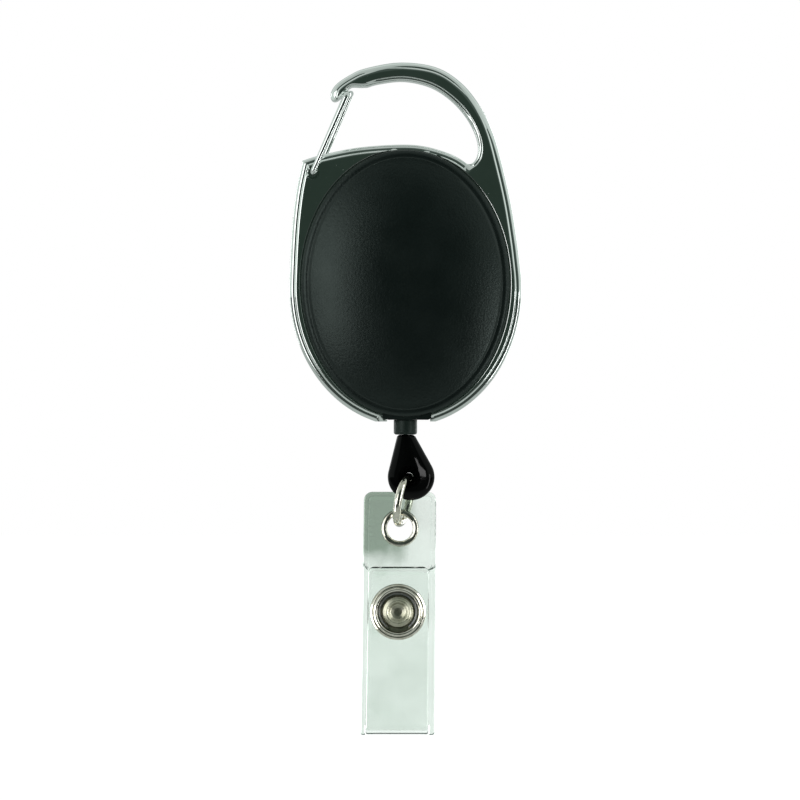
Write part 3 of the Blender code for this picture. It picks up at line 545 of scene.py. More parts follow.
def turned(name, corners, centre, axis, material, steps=96, smooth_angle=32):
    """A profile of (radius, height, corner radius), spun about an axis through centre."""
    profile = rounded_outline(corners)
    side = Vector((1, 0, 0)) if abs(axis.x) < 0.5 else Vector((0, 1, 0))
    other = axis.cross(side)
    points = []
    for step in range(steps):
        turn = math.tau * step / steps
        across = side * math.cos(turn) + other * math.sin(turn)
        points += [centre + across * max(radius, 0) + axis * height for radius, height in profile]
    count = len(profile)
    faces = []
    for step in range(steps):
        here = step * count
        there = (step + 1) % steps * count
        for index in range(count):
            after = (index + 1) % count
            if profile[index][0] <= 0 and profile[after][0] <= 0:
                continue
            faces.append((here + index, here + after, there + after, there + index))
    return new_piece(name, points, faces, material, smooth_angle)


def tube(name, points, radius, sides, material, cyclic=False, dome=0.0):
    """A round wire along points, with one radius or one for each. A dome rounds its ends by that length."""
    line = [Vector(point) for point in points]
    count = len(line)
    radii = list(radius) if isinstance(radius, list) else [radius] * count
    if dome:
        cap = [(dome * (1 - math.cos(angle)), math.sin(angle)) for angle in np.radians((8, 25, 45, 65))]
        start = (line[1] - line[0]).normalized()
        end = (line[-2] - line[-1]).normalized()
        line = (
            [line[0] + start * back for back, _ in cap] + line[1:-1]
            + [line[-1] + end * back for back, _ in cap[::-1]])
        radii = (
            [radii[0] * share for _, share in cap] + radii[1:-1]
            + [radii[-1] * share for _, share in cap[::-1]])
        count = len(line)
    rings = []
    normal = None
    for index, point in enumerate(line):
        before = line[index - 1] if cyclic or index else line[index]
        after = line[(index + 1) % count] if cyclic or index < count - 1 else line[index]
        along = (after - before).normalized()
        if normal is None:
            normal = along.orthogonal().normalized()
        normal = (normal - along * normal.dot(along)).normalized()
        other = along.cross(normal)
        rings.append([
            point + (normal * math.cos(math.tau * step / sides) + other * math.sin(math.tau * step / sides))
            * radii[index] for step in range(sides)])
    shift = 0
    if cyclic:
        gaps = [(rings[0][0] - rings[-1][step]).length for step in range(sides)]
        shift = int(np.argmin(gaps))
    faces = []
    for index in range(count if cyclic else count - 1):
        following = (index + 1) % count
        offset = shift if cyclic and following == 0 else 0
        for step in range(sides):
            after = (step + 1) % sides
            faces.append((
                index * sides + (step + offset) % sides, index * sides + (after + offset) % sides,
                following * sides + after, following * sides + step))
    if not cyclic:
        faces.append(tuple(range(sides)))
        faces.append(tuple(range((count - 1) * sides, count * sides)))
    return new_piece(name, [point for ring in rings for point in ring], faces, material, 50)


def cut(piece, tools, smooth_angle=32, operation="DIFFERENCE"):
    """Cut closed tools from a piece, or join them to it, and remove the tools."""
    for tool in tools:
        added = piece.modifiers.new(tool.name, "BOOLEAN")
        added.operation = operation
        added.object = tool
        added.solver = "EXACT"
    bpy.context.view_layer.update()
    graph = bpy.context.evaluated_depsgraph_get()
    mesh = bpy.data.meshes.new_from_object(piece.evaluated_get(graph))
    piece.modifiers.clear()
    old = piece.data
    piece.data = mesh
    mesh.name = piece.name
    bpy.data.meshes.remove(old)
    for tool in tools:
        bpy.data.objects.remove(tool)
    while len(mesh.materials) > 1:
        mesh.materials.pop(index=len(mesh.materials) - 1)
    mesh.polygons.foreach_set("material_index", [0] * len(mesh.polygons))
    tidy(mesh, smooth_angle)
    return piece


# ---------------------------------------------------------------- plates with rounded edges

def distance_to(points, line):
    """Each point's distance to an open line."""
    nearest = np.full(len(points), np.inf)
    for start, end in zip(line[:-1], line[1:]):
        span = end - start
        t = np.clip(((points - start) @ span) / max(span @ span, 1e-12), 0, 1)
        nearest = np.minimum(nearest, np.linalg.norm(points - start - t[:, None] * span, axis=1))
    return nearest


def inside(points, loops):
    """Whether each point is inside the loops, by counting crossings."""
    within = np.zeros(len(points), bool)
    for loop in loops:
        for (ax, ay), (bx, by) in zip(loop, np.roll(loop, -1, axis=0)):
            if ay == by:
                continue
            spans = (points[:, 1] < ay) != (points[:, 1] < by)
            within ^= spans & (points[:, 0] < ax + (points[:, 1] - ay) * (bx - ax) / (by - ay))
    return within


def quarter_round(distance, radius):
    """How far a quarter round falls below its top, this far in from its foot."""
    near = np.clip(radius - distance, 0, radius)
    return radius - np.sqrt(np.maximum(radius ** 2 - near ** 2, 0))


def edge_fall(distance, edge, share):
    """How far an edge falls below the face, this far in from the outline.

    An edge is an outer quarter round, a narrow ledge and an inner quarter round. A share of 1 is the
    full step, and 0 is one quarter round over all its width.
    """
    outer, ledge, inner = edge
    lower = quarter_round(distance, outer) + inner
    upper = quarter_round(distance - outer - ledge, inner)
    stepped = np.where(distance < outer + ledge * 0.999, lower, upper)
    return share * stepped + (1 - share) * quarter_round(distance, outer + ledge + inner)


def round_rows(radius):
    """Distances from a quarter round's foot where it needs a row of points, none too close together."""
    rows = []
    last = 0.0
    for angle in np.radians((24, 33, 45, 57, 68, 79)):
        depth = radius * (1 - math.cos(angle))
        if depth - last >= ROW_GAP and radius - depth >= ROW_GAP:
            rows.append(depth)
            last = depth
    return [*rows, radius]


def edge_rows(edge):
    """Distances from the outline where an edge needs a row of points."""
    outer, ledge, inner = edge
    if outer == 0:
        return []
    rows = round_rows(outer)
    if inner:
        rows += [outer + ledge] + [outer + ledge + depth for depth in round_rows(inner)]
    return rows + [sum(edge) + 0.09]


def across_line(line, cyclic=False):
    """The unit normal at each point of a line."""
    along = np.gradient(line, axis=0)
    if cyclic:
        along = np.roll(line, -1, axis=0) - np.roll(line, 1, axis=0)
    along /= np.linalg.norm(along, axis=1)[:, None]
    return np.stack([-along[:, 1], along[:, 0]], axis=1)


class Plate:
    """A flat region bounded by lines, each with its own edge rounding, and holes with theirs.

    lines are open lines that follow each other round the region; holes are closed loops. step_share
    gives, for points, how much of the step each edge has there.
    """

    def __init__(self, lines, holes=(), fill=None, step_share=lambda points: np.ones(len(points))):
        self.lines = [(np.array(line, float), edge) for line, edge in lines]
        self.holes = [(np.array(loop, float), edge) for loop, edge in holes]
        self.step_share = step_share
        self.outline = np.concatenate([line[:-1] for line, _ in self.lines])
        self.loops = [self.outline, *(loop for loop, _ in self.holes)]
        self.fill = fill

    def fall(self, points):
        """How far the face lies below its flat middle at each point."""
        found = np.zeros(len(points))
        share = self.step_share(points)
        for line, edge in self.lines:
            found = np.maximum(found, edge_fall(distance_to(points, line), edge, share))
        for loop, edge in self.holes:
            found = np.maximum(found, edge_fall(distance_to(points, closed(loop)), edge, share))
        return found

    def triangles(self, extra_depths=(), marks=()):
        """Points and triangles that fill the region, with rows along each rounded edge and each mark."""
        gathered = np.concatenate(self.loops)
        edges = []
        base = 0
        for loop in self.loops:
            edges += [(base + index, base + (index + 1) % len(loop)) for index in range(len(loop))]
            base += len(loop)
        rims = [(line, edge, False) for line, edge in self.lines]
        rims += [(loop, edge, True) for loop, edge in self.holes]
        bounds = [closed(loop) for loop in self.loops]
        rows = []
        for line, edge, cyclic in rims:
            normals = across_line(line, cyclic)
            middle = line[len(line) // 2] + normals[len(line) // 2] * 0.02
            if not inside(middle[None], self.loops)[0]:
                normals = -normals
            for depth in [*edge_rows(edge), *extra_depths]:
                rows.append((line + normals * depth, depth, edge, cyclic))
        for mark in marks:
            across = across_line(mark)
            rows += [(mark + across * offset, ROW_GAP, None, False) for offset in MARK_ROWS]
        if self.fill is not None:
            low = self.outline.min(0)
            high = self.outline.max(0)
            grid_x, grid_y = np.meshgrid(
                np.arange(low[0], high[0], self.fill), np.arange(low[1], high[1], self.fill))
            grid = np.stack([grid_x.ravel(), grid_y.ravel()], axis=1) + 0.013
            rows.append((grid, self.fill * 0.45, None, False))
        kept = Sieve(ROW_GAP * 0.5)
        for row, depth, edge, cyclic in rows:
            nearest = np.min([distance_to(row, bound) for bound in bounds], axis=0)
            clear = inside(row, self.loops) & (nearest > min(depth * 0.985, ROW_GAP))
            if edge is None:
                clear &= nearest > depth
            else:
                own = edge_fall(np.full(len(row), depth), edge, self.step_share(row))
                clear &= self.fall(row) < own + ROW_SLACK
            found = [kept.add(point) if free else None for point, free in zip(row, clear)]
            if edge is None:
                continue
            pairs = zip(found, found[1:] + found[:1]) if cyclic else zip(found, found[1:])
            edges += [(base + here, base + there) for here, there in pairs if None not in (here, there)]
        points = np.concatenate([gathered, np.array(kept.points).reshape(-1, 2)])
        found = geometry.delaunay_2d_cdt(
            [Vector((float(x), float(y))) for x, y in points], edges, [], 0, 1e-5)
        made = np.array([(point.x, point.y) for point in found[0]])
        faces = np.array([face for face in found[2] if len(face) == 3])
        middles = made[faces].mean(axis=1)
        faces = faces[inside(middles, self.loops)]
        made[:base] = points[:base]
        return made, faces


class Sieve:
    """Keeps points that are no nearer than spacing to one already kept."""

    def __init__(self, spacing):
        self.spacing = spacing
        self.cells = {}
        self.points = []

    def add(self, point):
        """The kept point's index, or None where another is too near."""
        cell = (math.floor(point[0] / self.spacing), math.floor(point[1] / self.spacing))
        for dx in (-1, 0, 1):
            for dy in (-1, 0, 1):
                for other in self.cells.get((cell[0] + dx, cell[1] + dy), ()):
                    if math.dist(other, point) < self.spacing:
                        return None
        self.cells.setdefault(cell, []).append(point)
        self.points.append(point)
        return len(self.points) - 1


def joined(parts):
    """One list of points and faces from several."""
    points = []
    faces = []
    for more, their_faces in parts:
        base = len(points)
        points += list(more)
        faces += [tuple(base + index for index in face) for face in their_faces]
    return points, faces


def wall(line, levels):
    """Faces along a line of (x, z) points, between rows of Y values: one list of Y for each row."""
    count = len(line)
    points = [(x, row[index], z) for row in levels for index, (x, z) in enumerate(line)]
    return points, strips(len(levels), count)


# ---------------------------------------------------------------- frame

def frame_lines():
    """The frame's outline as smooth lines, each with its edge rounding."""
    nose_points = [
        (-6.6, -1.0), (-7.8, -1.05), (-8.9, -1.0), (-9.4, -0.9), (-10.0, -1.4), (-10.9, -2.6), (-11.5, -3.2),
        (-12.1, -3.65), (-12.65, -3.65), (-13.05, -3.25), (-13.2, -2.6)]
    hook_points = [
        (-12.85, -1.55), (-12.0, -0.45), (-9.9, 0.96), (-7.1, 2.2), (-0.9, 3.25), (5.4, 2.4), (9.9, -0.44),
        (13.2, -4.6), (15.3, -8.8), (16.9, -14.4), (18.5, -21.4), (19.7, -29.0)]
    right_end = math.degrees(math.asin((FRAME_BOTTOM_Z - RIM_CENTRE_Z) / RIM_HALF_HEIGHT))
    rim = arc_points(RIM_CENTRE_Z, RIM_HALF_WIDTH, RIM_HALF_HEIGHT, 8, right_end, 60)
    around = np.vstack([curve_through(nose_points + hook_points, 12), rim])
    around = relaxed(evened(around, 0.28), 6)
    tip = int(np.argmin(np.linalg.norm(around - nose_points[-1], axis=1)))
    nose = around[:tip + 1]
    outer = around[tip:]
    end_x = CHIN_RIGHT_X + COVER_FIT
    start_x = CHIN_LEFT_X - COVER_FIT
    half_turn = math.degrees(math.acos(end_x / (COVER_HALF_WIDTH + COVER_FIT)))
    far_turn = 360 - math.degrees(math.acos(start_x / (COVER_HALF_WIDTH + COVER_FIT)))
    recess = arc_points(
        CASE_CENTRE_Z, COVER_HALF_WIDTH + COVER_FIT, COVER_HALF_HEIGHT + COVER_FIT, -half_turn, far_turn, 300)
    left_rim = arc_points(RIM_CENTRE_Z, RIM_HALF_WIDTH, RIM_HALF_HEIGHT, 180 - right_end, 178, 60)
    side = curve_through([(-20.1, -29.8), (-19.72, -24.2), (-19.0, -18.6), (-18.0, -14.1)], 12)
    left = relaxed(evened(np.vstack([left_rim, side]), 0.4), 14)
    shoulder = relaxed(evened(curve_through([
        (-17.9, -13.9), (-15.1, -13.0), (-8.1, -11.6), (-0.2, -11.1), (4.3, -11.6), (8.7, -13.1),
        (10.8, -14.5)], 12), 0.4), 10)
    bow = relaxed(evened(curve_through([
        (10.8, -14.5), (11.35, -14.6), (11.9, -14.3), (12.6, -13.0), (12.7, -11.2), (12.0, -8.8),
        (10.4, -6.0), (7.8, -3.2), (4.3, -1.0), (-0.3, 0.0), (-4.6, -0.44), (-6.6, -1.0)], 12), 0.3), 4)
    shoulder[0] = (-17.9, -13.9)
    corner = np.array([left[-1], (-18.02, -13.96), shoulder[0]])
    right_foot = np.array([outer[-1], (end_x, FRAME_BOTTOM_Z)])
    left_foot = np.array([(start_x, FRAME_BOTTOM_Z), left[0]])
    right_side = np.array([(end_x, FRAME_BOTTOM_Z), recess[0]])
    left_side = np.array([recess[-1], (start_x, FRAME_BOTTOM_Z)])
    return {
        "outer": (outer, OUTER_EDGE), "right_foot": (evened(right_foot, 0.3), SMALL_EDGE),
        "right_side": (evened(right_side, 0.3), SMALL_EDGE), "recess": (recess, SMALL_EDGE),
        "left_side": (evened(left_side, 0.3), SMALL_EDGE),
        "left_foot": (evened(left_foot, 0.3), SMALL_EDGE), "left": (left, OUTER_EDGE),
        "corner": (corner, CORNER_EDGE), "shoulder": (shoulder, OUTER_EDGE),
        "bow": (bow, BOW_EDGE), "nose": (nose, NOSE_EDGE)}


def smooth_step(values):
    near = np.clip(values, 0, 1)
    return near * near * (3 - 2 * near)


def frame_step_share(points):
    """The step along the frame's edges: full round the case, slight at the nose, fading out over the hook."""
    low = smooth_step((-4.0 - points[:, 1]) / 11.0)
    nose = 0.5 * smooth_step((-4.5 - points[:, 0]) / 4.0)
    bow = 0.85 * smooth_step((11.5 - np.hypot(points[:, 0] - 1.0, points[:, 1] + 8.5)) / 1.5)
    return np.maximum(np.maximum(low, nose), bow)


def make_frame():
    """Rounded casting with a recess for each cover, open below for the chin, and a bore for each gate leg."""
    lines = frame_lines()
    order = list(lines.values())
    parts = []
    for side, pivot in ((-1, FRONT_PIVOT), (1, REAR_PIVOT)):
        mouth = circle(pivot.x, pivot.z, BORE_RADIUS + BORE_CHAMFER)
        plate = Plate(order, [(mouth, (0, 0, 0))], step_share=frame_step_share)
        points, faces = plate.triangles()
        fall = plate.fall(points)
        parts.append(([(x, side * (HALF_DEPTH - drop), z) for (x, z), drop in zip(points, fall)], faces))
        surface = [side * (HALF_DEPTH - drop) for drop in plate.fall(mouth)]
        throat = circle(pivot.x, pivot.z, BORE_RADIUS)
        floor_y = side * (HALF_DEPTH - BORE_DEPTH)
        throat_y = side * (HALF_DEPTH - BORE_CHAMFER)
        points = [(x, y, z) for (x, z), y in zip(mouth, surface)]
        points += [(x, throat_y, z) for x, z in throat] + [(x, floor_y, z) for x, z in throat]
        points.append((pivot.x, floor_y, pivot.z))
        count = len(mouth)
        faces = band(0, count, count) + band(count, 2 * count, count)
        faces += [(2 * count + step, 2 * count + (step + 1) % count, 3 * count) for step in range(count)]
        parts.append((points, faces))
    whole = Plate(order, step_share=frame_step_share)
    for name, (line, _) in lines.items():
        top = HALF_DEPTH - whole.fall(line)
        if name == "recess":
            floor = np.full(len(line), LEDGE_HALF_DEPTH)
            for side in (-1, 1):
                parts.append(wall(line, [side * top, side * (top - 0.05), side * floor]))
            continue
        near = np.maximum(top - 0.06, (top + LEDGE_HALF_DEPTH) / 2)
        ledge = np.minimum(np.full(len(line), LEDGE_HALF_DEPTH), near - 0.01)
        if name not in ("right_side", "left_side"):
            ledge = near * 0.5
        parts.append(wall(line, [-top, -near, -ledge, ledge, near, top]))
    recess = lines["recess"][0]
    inner_width = COVER_HALF_WIDTH - SKIRT_INSET + COVER_FIT
    inner_height = COVER_HALF_HEIGHT - SKIRT_INSET + COVER_FIT
    first = -math.degrees(math.acos(recess[0][0] / inner_width))
    last = 360 - math.degrees(math.acos(recess[-1][0] / inner_width))
    aperture = arc_points(CASE_CENTRE_Z, inner_width, inner_height, first, last, 300)
    count = len(recess)
    for side in (-1, 1):
        y = side * LEDGE_HALF_DEPTH
        parts.append(([(x, y, z) for x, z in [*recess, *aperture]], strips(2, count)))
    flat = np.full(count, LEDGE_HALF_DEPTH)
    parts.append(wall(aperture, [-flat, flat]))
    for end in (0, -1):
        foot = np.array([recess[end], aperture[end]])
        parts.append(wall(foot, [-flat[:2], flat[:2]]))
    points, faces = joined(parts)
    made = new_piece("hook_frame", points, faces, CHROME, 38)
    return placed(made, "reel_case", "chrome", "carabiner_frame")


def make_gate():
    """One bent wire, thicker near its front top: two legs that straddle the frame, joined at the nose."""
    front_end = FRONT_PIVOT.copy()
    front_end.y = -HALF_DEPTH + LEG_IN_BORE
    rear_end = REAR_PIVOT.copy()
    rear_end.y = HALF_DEPTH - LEG_IN_BORE
    corners = [front_end, FRONT_PIVOT, GATE_TOP_FRONT, GATE_TOP_REAR, REAR_PIVOT, rear_end]
    path = rounded_path(corners, [0.6, 0.75, 0.75, 0.6], 12)
    cap = GATE_TOP_FRONT + UP * 0.3
    nearness = [max(0, 1 - (cap - point).length / GATE_SWELL_REACH) for point in path]
    radii = [GATE_RADIUS + GATE_SWELL * near ** 0.5 for near in nearness]
    made = tube("gate_loop", path, radii, 28, WIRE_CHROME, dome=0.2)
    return placed(made, "gate", "chrome", "gate_wire")


# ---------------------------------------------------------------- reel case

def oval(half_width, half_height, y):
    turns = np.linspace(0, math.tau, OVAL_STEPS, endpoint=False)
    return [
        (half_width * math.cos(turn), y, CASE_CENTRE_Z + half_height * math.sin(turn)) for turn in turns]


def inset(amount, y):
    return COVER_HALF_WIDTH - amount, COVER_HALF_HEIGHT - amount, y


def scaled(share, y):
    return COVER_HALF_WIDTH * share, COVER_HALF_HEIGHT * share, y


def dome_height(share):
    return DOME_Y + (DOME_FOOT_Y - DOME_Y) * (share / DOME_EDGE) ** DOME_EXPONENT


def lofted(name, rings, material, smooth_angle=32):
    """Ovals (half width, half height, y) bridged in order; a ring of zero width is a point."""
    points = []
    starts = []
    for half_width, half_height, y in rings:
        starts.append(len(points))
        points += [(0, y, CASE_CENTRE_Z)] if half_width == 0 else oval(half_width, half_height, y)
    faces = []
    for (first, second), (start, following) in zip(zip(rings, rings[1:]), zip(starts, starts[1:])):
        for step in range(OVAL_STEPS):
            after = (step + 1) % OVAL_STEPS
            if first[0] == 0:
                faces.append((start, following + step, following + after))
            elif second[0] == 0:
                faces.append((start + after, start + step, following))
            else:
                faces.append((start + after, start + step, following + step, following + after))
    return new_piece(name, points, faces, material, smooth_angle)


def slab(name, corners, low_y, high_y):
    """An outline of (x, z, corner radius) made thick from one Y to the other."""
    outline = rounded_outline(corners)
    count = len(outline)
    points = [(x, y, z) for y in (low_y, high_y) for x, z in outline]
    faces = [tuple(range(count)), tuple(range(count, 2 * count)), *band(0, count, count)]
    return new_piece(name, points, faces, CASE_PLASTIC)


def chin(name, low_y, high_y):
    """The block between the frame's two feet, its lower edges rounded."""
    top_z = CASE_CENTRE_Z - COVER_HALF_HEIGHT + SKIRT_INSET + 0.6 * WALL
    return slab(name, [
        (CHIN_LEFT_X, top_z, 0), (CHIN_LEFT_X, CHIN_BOTTOM_Z, 0.3), (CHIN_RIGHT_X, CHIN_BOTTOM_Z, 0.3),
        (CHIN_RIGHT_X, top_z, 0)], low_y, high_y)


def chin_lip():
    """A thin flange on the chin's front, a little wider than the chin."""
    return slab("chin_lip", [
        (-4.0, -57.6, 0.1), (-4.0, -58.95, 0.25), (-2.9, CHIN_BOTTOM_Z, 0.4), (4.0, CHIN_BOTTOM_Z, 0.3),
        (4.5, -58.9, 0.2), (4.5, -57.6, 0.1)], -2.45, -2.24)


def make_front_cover():
    """Low grained dome, a smooth step and a flat shoulder, hollow behind, with its half of the chin."""
    shares = [*np.linspace(0.04, 0.8, 22), 0.84, 0.87, 0.893, 0.907, DOME_EDGE]
    rings = [(0, 0, DOME_Y)] + [scaled(share, dome_height(share)) for share in shares]
    rings += [inset(1.44, SHOULDER_Y - 0.19), inset(1.36, SHOULDER_Y - 0.07), inset(1.22, SHOULDER_Y)]
    for turn in np.radians(np.linspace(12, 90, 8)):
        y = -HALF_DEPTH + (SHOULDER_Y + HALF_DEPTH) * math.cos(turn)
        rings.append(inset(SHOULDER_WIDTH * (1 - math.sin(turn)), y))
    rings.append(inset(0, -LEDGE_HALF_DEPTH - LEDGE_GAP))
    rings += [inset(SKIRT_INSET, -LEDGE_HALF_DEPTH - LEDGE_GAP), inset(SKIRT_INSET, -SEAM_HALF)]
    rings += [inset(SKIRT_INSET + WALL, -SEAM_HALF), inset(SKIRT_INSET + WALL, SHOULDER_Y + WALL)]
    rings += [scaled(share, WALL + dome_height(share)) for share in (0.74, 0.6, 0.45, 0.25, 0.1)]
    rings.append((0, 0, DOME_Y + WALL))
    made = lofted("case_front", rings, CASE_PLASTIC)
    cut(made, [chin("chin_front", -HALF_DEPTH - 0.03, -0.1), chin_lip()], operation="UNION")
    cut(made, [guide_bore()])
    return placed(made, "reel_case", "black_plastic", "front_cover")


def at_screws(name, profile, steps):
    """The same turned tool at each screw."""
    return [
        turned(name + place, profile, Vector((x, 0, z)), BACK, CASE_PLASTIC, steps)
        for place, (x, z) in SCREW_PLACES.items()]


def make_rear_cover():
    """Flat back with a soft edge, wells for three screws and the end of the post in its middle."""
    rings = [(0, 0, BACK_Y - WALL), scaled(0.5, BACK_Y - WALL)]
    rings += [inset(SKIRT_INSET + WALL, BACK_Y - WALL - 0.8), inset(SKIRT_INSET + WALL, SEAM_HALF)]
    rings.append(inset(SKIRT_INSET, SEAM_HALF))
    rings += [inset(SKIRT_INSET, LEDGE_HALF_DEPTH + LEDGE_GAP), inset(0, LEDGE_HALF_DEPTH + LEDGE_GAP)]
    rings += [inset(0, 2.6), inset(0.02, 2.78), inset(0.08, 2.95)]
    sweep = curve_through([
        (0.2, 3.1), (0.62, 3.65), (1.3, 4.3), (2.05, 4.8), (2.9, 5.16), (3.8, 5.35), (4.7, BACK_Y)], 3)
    rings += [inset(amount, y) for amount, y in sweep]
    rings += [scaled(share, BACK_Y) for share in (0.6, 0.4, 0.2, 0.1)]
    rings.append((0, 0, BACK_Y))
    made = lofted("case_back", rings, CASE_PLASTIC)
    column = [(0, 0.14, 0), (1.75, 0.14, 0), (1.75, BACK_Y - 0.6, 0), (0, BACK_Y - 0.6, 0)]
    well = [
        (0, -1, 0), (0.75, -1, 0), (0.75, 3.6, 0), (1.35, 3.6, 0), (1.35, BACK_Y - 0.12, 0),
        (1.5, BACK_Y + 0.05, 0), (1.5, BACK_Y + 1, 0), (0, BACK_Y + 1, 0)]
    columns = at_screws("column_", column, 40)
    cut(made, [chin("chin_rear", 0.1, HALF_DEPTH), *columns], operation="UNION")
    wells = at_screws("well_", well, 48)
    centre = Vector((0, 0, CASE_CENTRE_Z))
    post_hole = turned("post_hole", [
        (0, 3, 0), (1.3, 3, 0), (1.3, BACK_Y - 0.1, 0), (1.45, BACK_Y + 0.05, 0), (1.45, BACK_Y + 1, 0),
        (0, BACK_Y + 1, 0)], centre, BACK, CASE_PLASTIC, 48)
    cut(made, [*wells, post_hole, guide_bore()])
    return placed(made, "reel_case", "black_plastic", "rear_cover")


def guide_bore():
    return turned(
        "guide_bore", [(0, -1, 0), (1.5, -1, 0), (1.5, 6, 0), (0, 6, 0)],
        Vector((0, 0, CHIN_BOTTOM_Z)), UP, CASE_PLASTIC, 48)


def make_screws():
    """Pan heads with a cross recess."""
    for place, (x, z) in SCREW_PLACES.items():
        centre = Vector((x, 0, z))
        made = turned("screw_" + place, [
            (0, -2.4, 0), (0.35, -2.3, 0.05), (0.65, -1.9, 0.05), (0.65, 3.72, 0), (1.25, 3.72, 0.08),
            (1.25, 4.4, 0.3), (0.7, 4.72, 0.3), (0, 4.75, 0)], centre, BACK, STEEL, 48)
        tools = []
        for turn in (35, 125):
            along = Vector((math.cos(math.radians(turn)), 0, math.sin(math.radians(turn))))
            across = Vector((-along.z, 0, along.x))
            name = "cross_%s_%d" % (place, turn)
            tools.append(block(name, centre + BACK * 4.75, along * 0.68, across * 0.13, 0.55))
        cut(made, tools)
        placed(made, "reel_case", "steel", "case_screw_" + place)


def block(name, centre, along, across, half_depth):
    """A tapered bar that cuts one arm of a cross recess."""
    points = []
    for y, share in ((-half_depth, 0.55), (half_depth, 1.2)):
        for a, b in ((-1, -1), (1, -1), (1, 1), (-1, 1)):
            points.append(centre + along * a * share + across * b * share + BACK * y)
    faces = [(0, 1, 2, 3), (4, 5, 6, 7), (0, 1, 5, 4), (1, 2, 6, 5), (2, 3, 7, 6), (3, 0, 4, 7)]
    return new_piece(name, points, faces, STEEL)


def make_post():
    """Slotted post, riveted over a little at the back."""
    made = turned("post_turned", [
        (0, -4.6, 0), (1.6, -4.6, 0.2), (1.6, 3.55, 0), (2.4, 3.55, 0.1), (2.4, 4.15, 0.1), (1.2, 4.15, 0),
        (1.2, BACK_Y - 0.12, 0.25), (0.5, BACK_Y - 0.12, 0.1), (0.3, BACK_Y - 0.3, 0.1),
        (0, BACK_Y - 0.3, 0)],
        Vector((0, 0, CASE_CENTRE_Z)), BACK, STEEL, 64)
    centre = Vector((0, -2.05, CASE_CENTRE_Z))
    slot = block("post_slot", centre, Vector((2.5, 0, 0)), Vector((0, 0, 0.3)), 3.95)
    cut(made, [slot])
    return placed(made, "reel_case", "steel", "arbor_post")


def make_guide():
    """Bush below the chin: rounded head, a flange inside the case and a smooth mouth for the cord."""
    head = GUIDE_BOTTOM_Z - CHIN_BOTTOM_Z
    made = turned("guide_bush", [
        (0.62, head, 0.28), (2.05, head, 0.45), (2.05, -0.02, 0.12), (1.4, -0.02, 0), (1.4, 3.65, 0),
        (2.1, 3.65, 0.05), (2.1, 4.1, 0.15), (1.2, 4.2, 0.1), (0.75, 3.8, 0.1), (0.75, head + 0.9, 0)],
        Vector((0, 0, CHIN_BOTTOM_Z)), UP, SATIN_PLASTIC, 72)
    return placed(made, "reel_case", "grey_plastic", "cord_guide")


# ---------------------------------------------------------------- cord, teardrop and ring

def make_cord():
    """From the winding, tangent to it, through the guide to the knot, as one line."""
    turn_radius = WINDING_RADIUS + CORD_RADIUS + 0.1
    corner = Vector((0, 0, CHIN_BOTTOM_Z + 5.2))
    tangent = math.acos(turn_radius / (CASE_CENTRE_Z - corner.z))
    path = []
    for step in range(10):
        turn = tangent + math.radians(30) * (1 - step / 9)
        path.append(Vector((
            turn_radius * math.sin(turn), GROOVE_Y, CASE_CENTRE_Z - turn_radius * math.cos(turn))))
    lead = rounded_path([path[-1], corner, Vector((0, 0, KNOT_TOP_Z - 0.25))], 1.5, 10)
    made = tube("cord_line", path[:-1] + lead, CORD_RADIUS, 20, CORD, dome=0.1)
    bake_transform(made)
    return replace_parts(made, "pull_cord")


def make_knot():
    """An overhand knot in the cord's end."""
    points = []
    for step in range(72):
        turn = math.tau * step / 72
        reach = KNOT_REACH + KNOT_LOBE * math.cos(3 * turn)
        z = KNOT_Z + reach * 1.15 * math.sin(2 * turn)
        points.append(Vector((reach * math.cos(2 * turn), 0.2 * math.sin(3 * turn), z)))
    made = tube("knot", points, KNOT_STRAND, 14, CORD, cyclic=True)
    return placed(made, "cord_end", "black_cord", "cord_knot")


def drop_edge(side, z):
    """The teardrop's left (-1) or right (+1) edge at a height: a tangent from the neck, then the circle."""
    neck_x = DROP_TOP.x + side * DROP_NECK_HALF_WIDTH
    away = Vector((neck_x - DROP_CENTRE.x, DROP_TOP.z - DROP_CENTRE.z))
    lean = math.atan2(away.y, away.x) - side * math.acos(DROP_RADIUS / away.length)
    touch_x = DROP_CENTRE.x + DROP_RADIUS * math.cos(lean)
    touch_z = DROP_CENTRE.z + DROP_RADIUS * math.sin(lean)
    if z > touch_z:
        return neck_x + (touch_x - neck_x) * (DROP_TOP.z - z) / (DROP_TOP.z - touch_z)
    return DROP_CENTRE.x + side * math.sqrt(max(DROP_RADIUS ** 2 - (z - DROP_CENTRE.z) ** 2, 0))


def drop_half_depth(z):
    """Round at the neck, even over the middle, and rounded off at the bottom."""
    shoulder_z = DROP_CENTRE.z - 0.8
    if z >= shoulder_z:
        return DROP_HALF_DEPTH * (0.9 + 0.1 * min((DROP_TOP.z - z) / 4, 1))
    fall = (shoulder_z - z) / (shoulder_z - (DROP_CENTRE.z - DROP_RADIUS))
    return DROP_HALF_DEPTH * math.sqrt(max(1 - fall ** 2.4, 0))


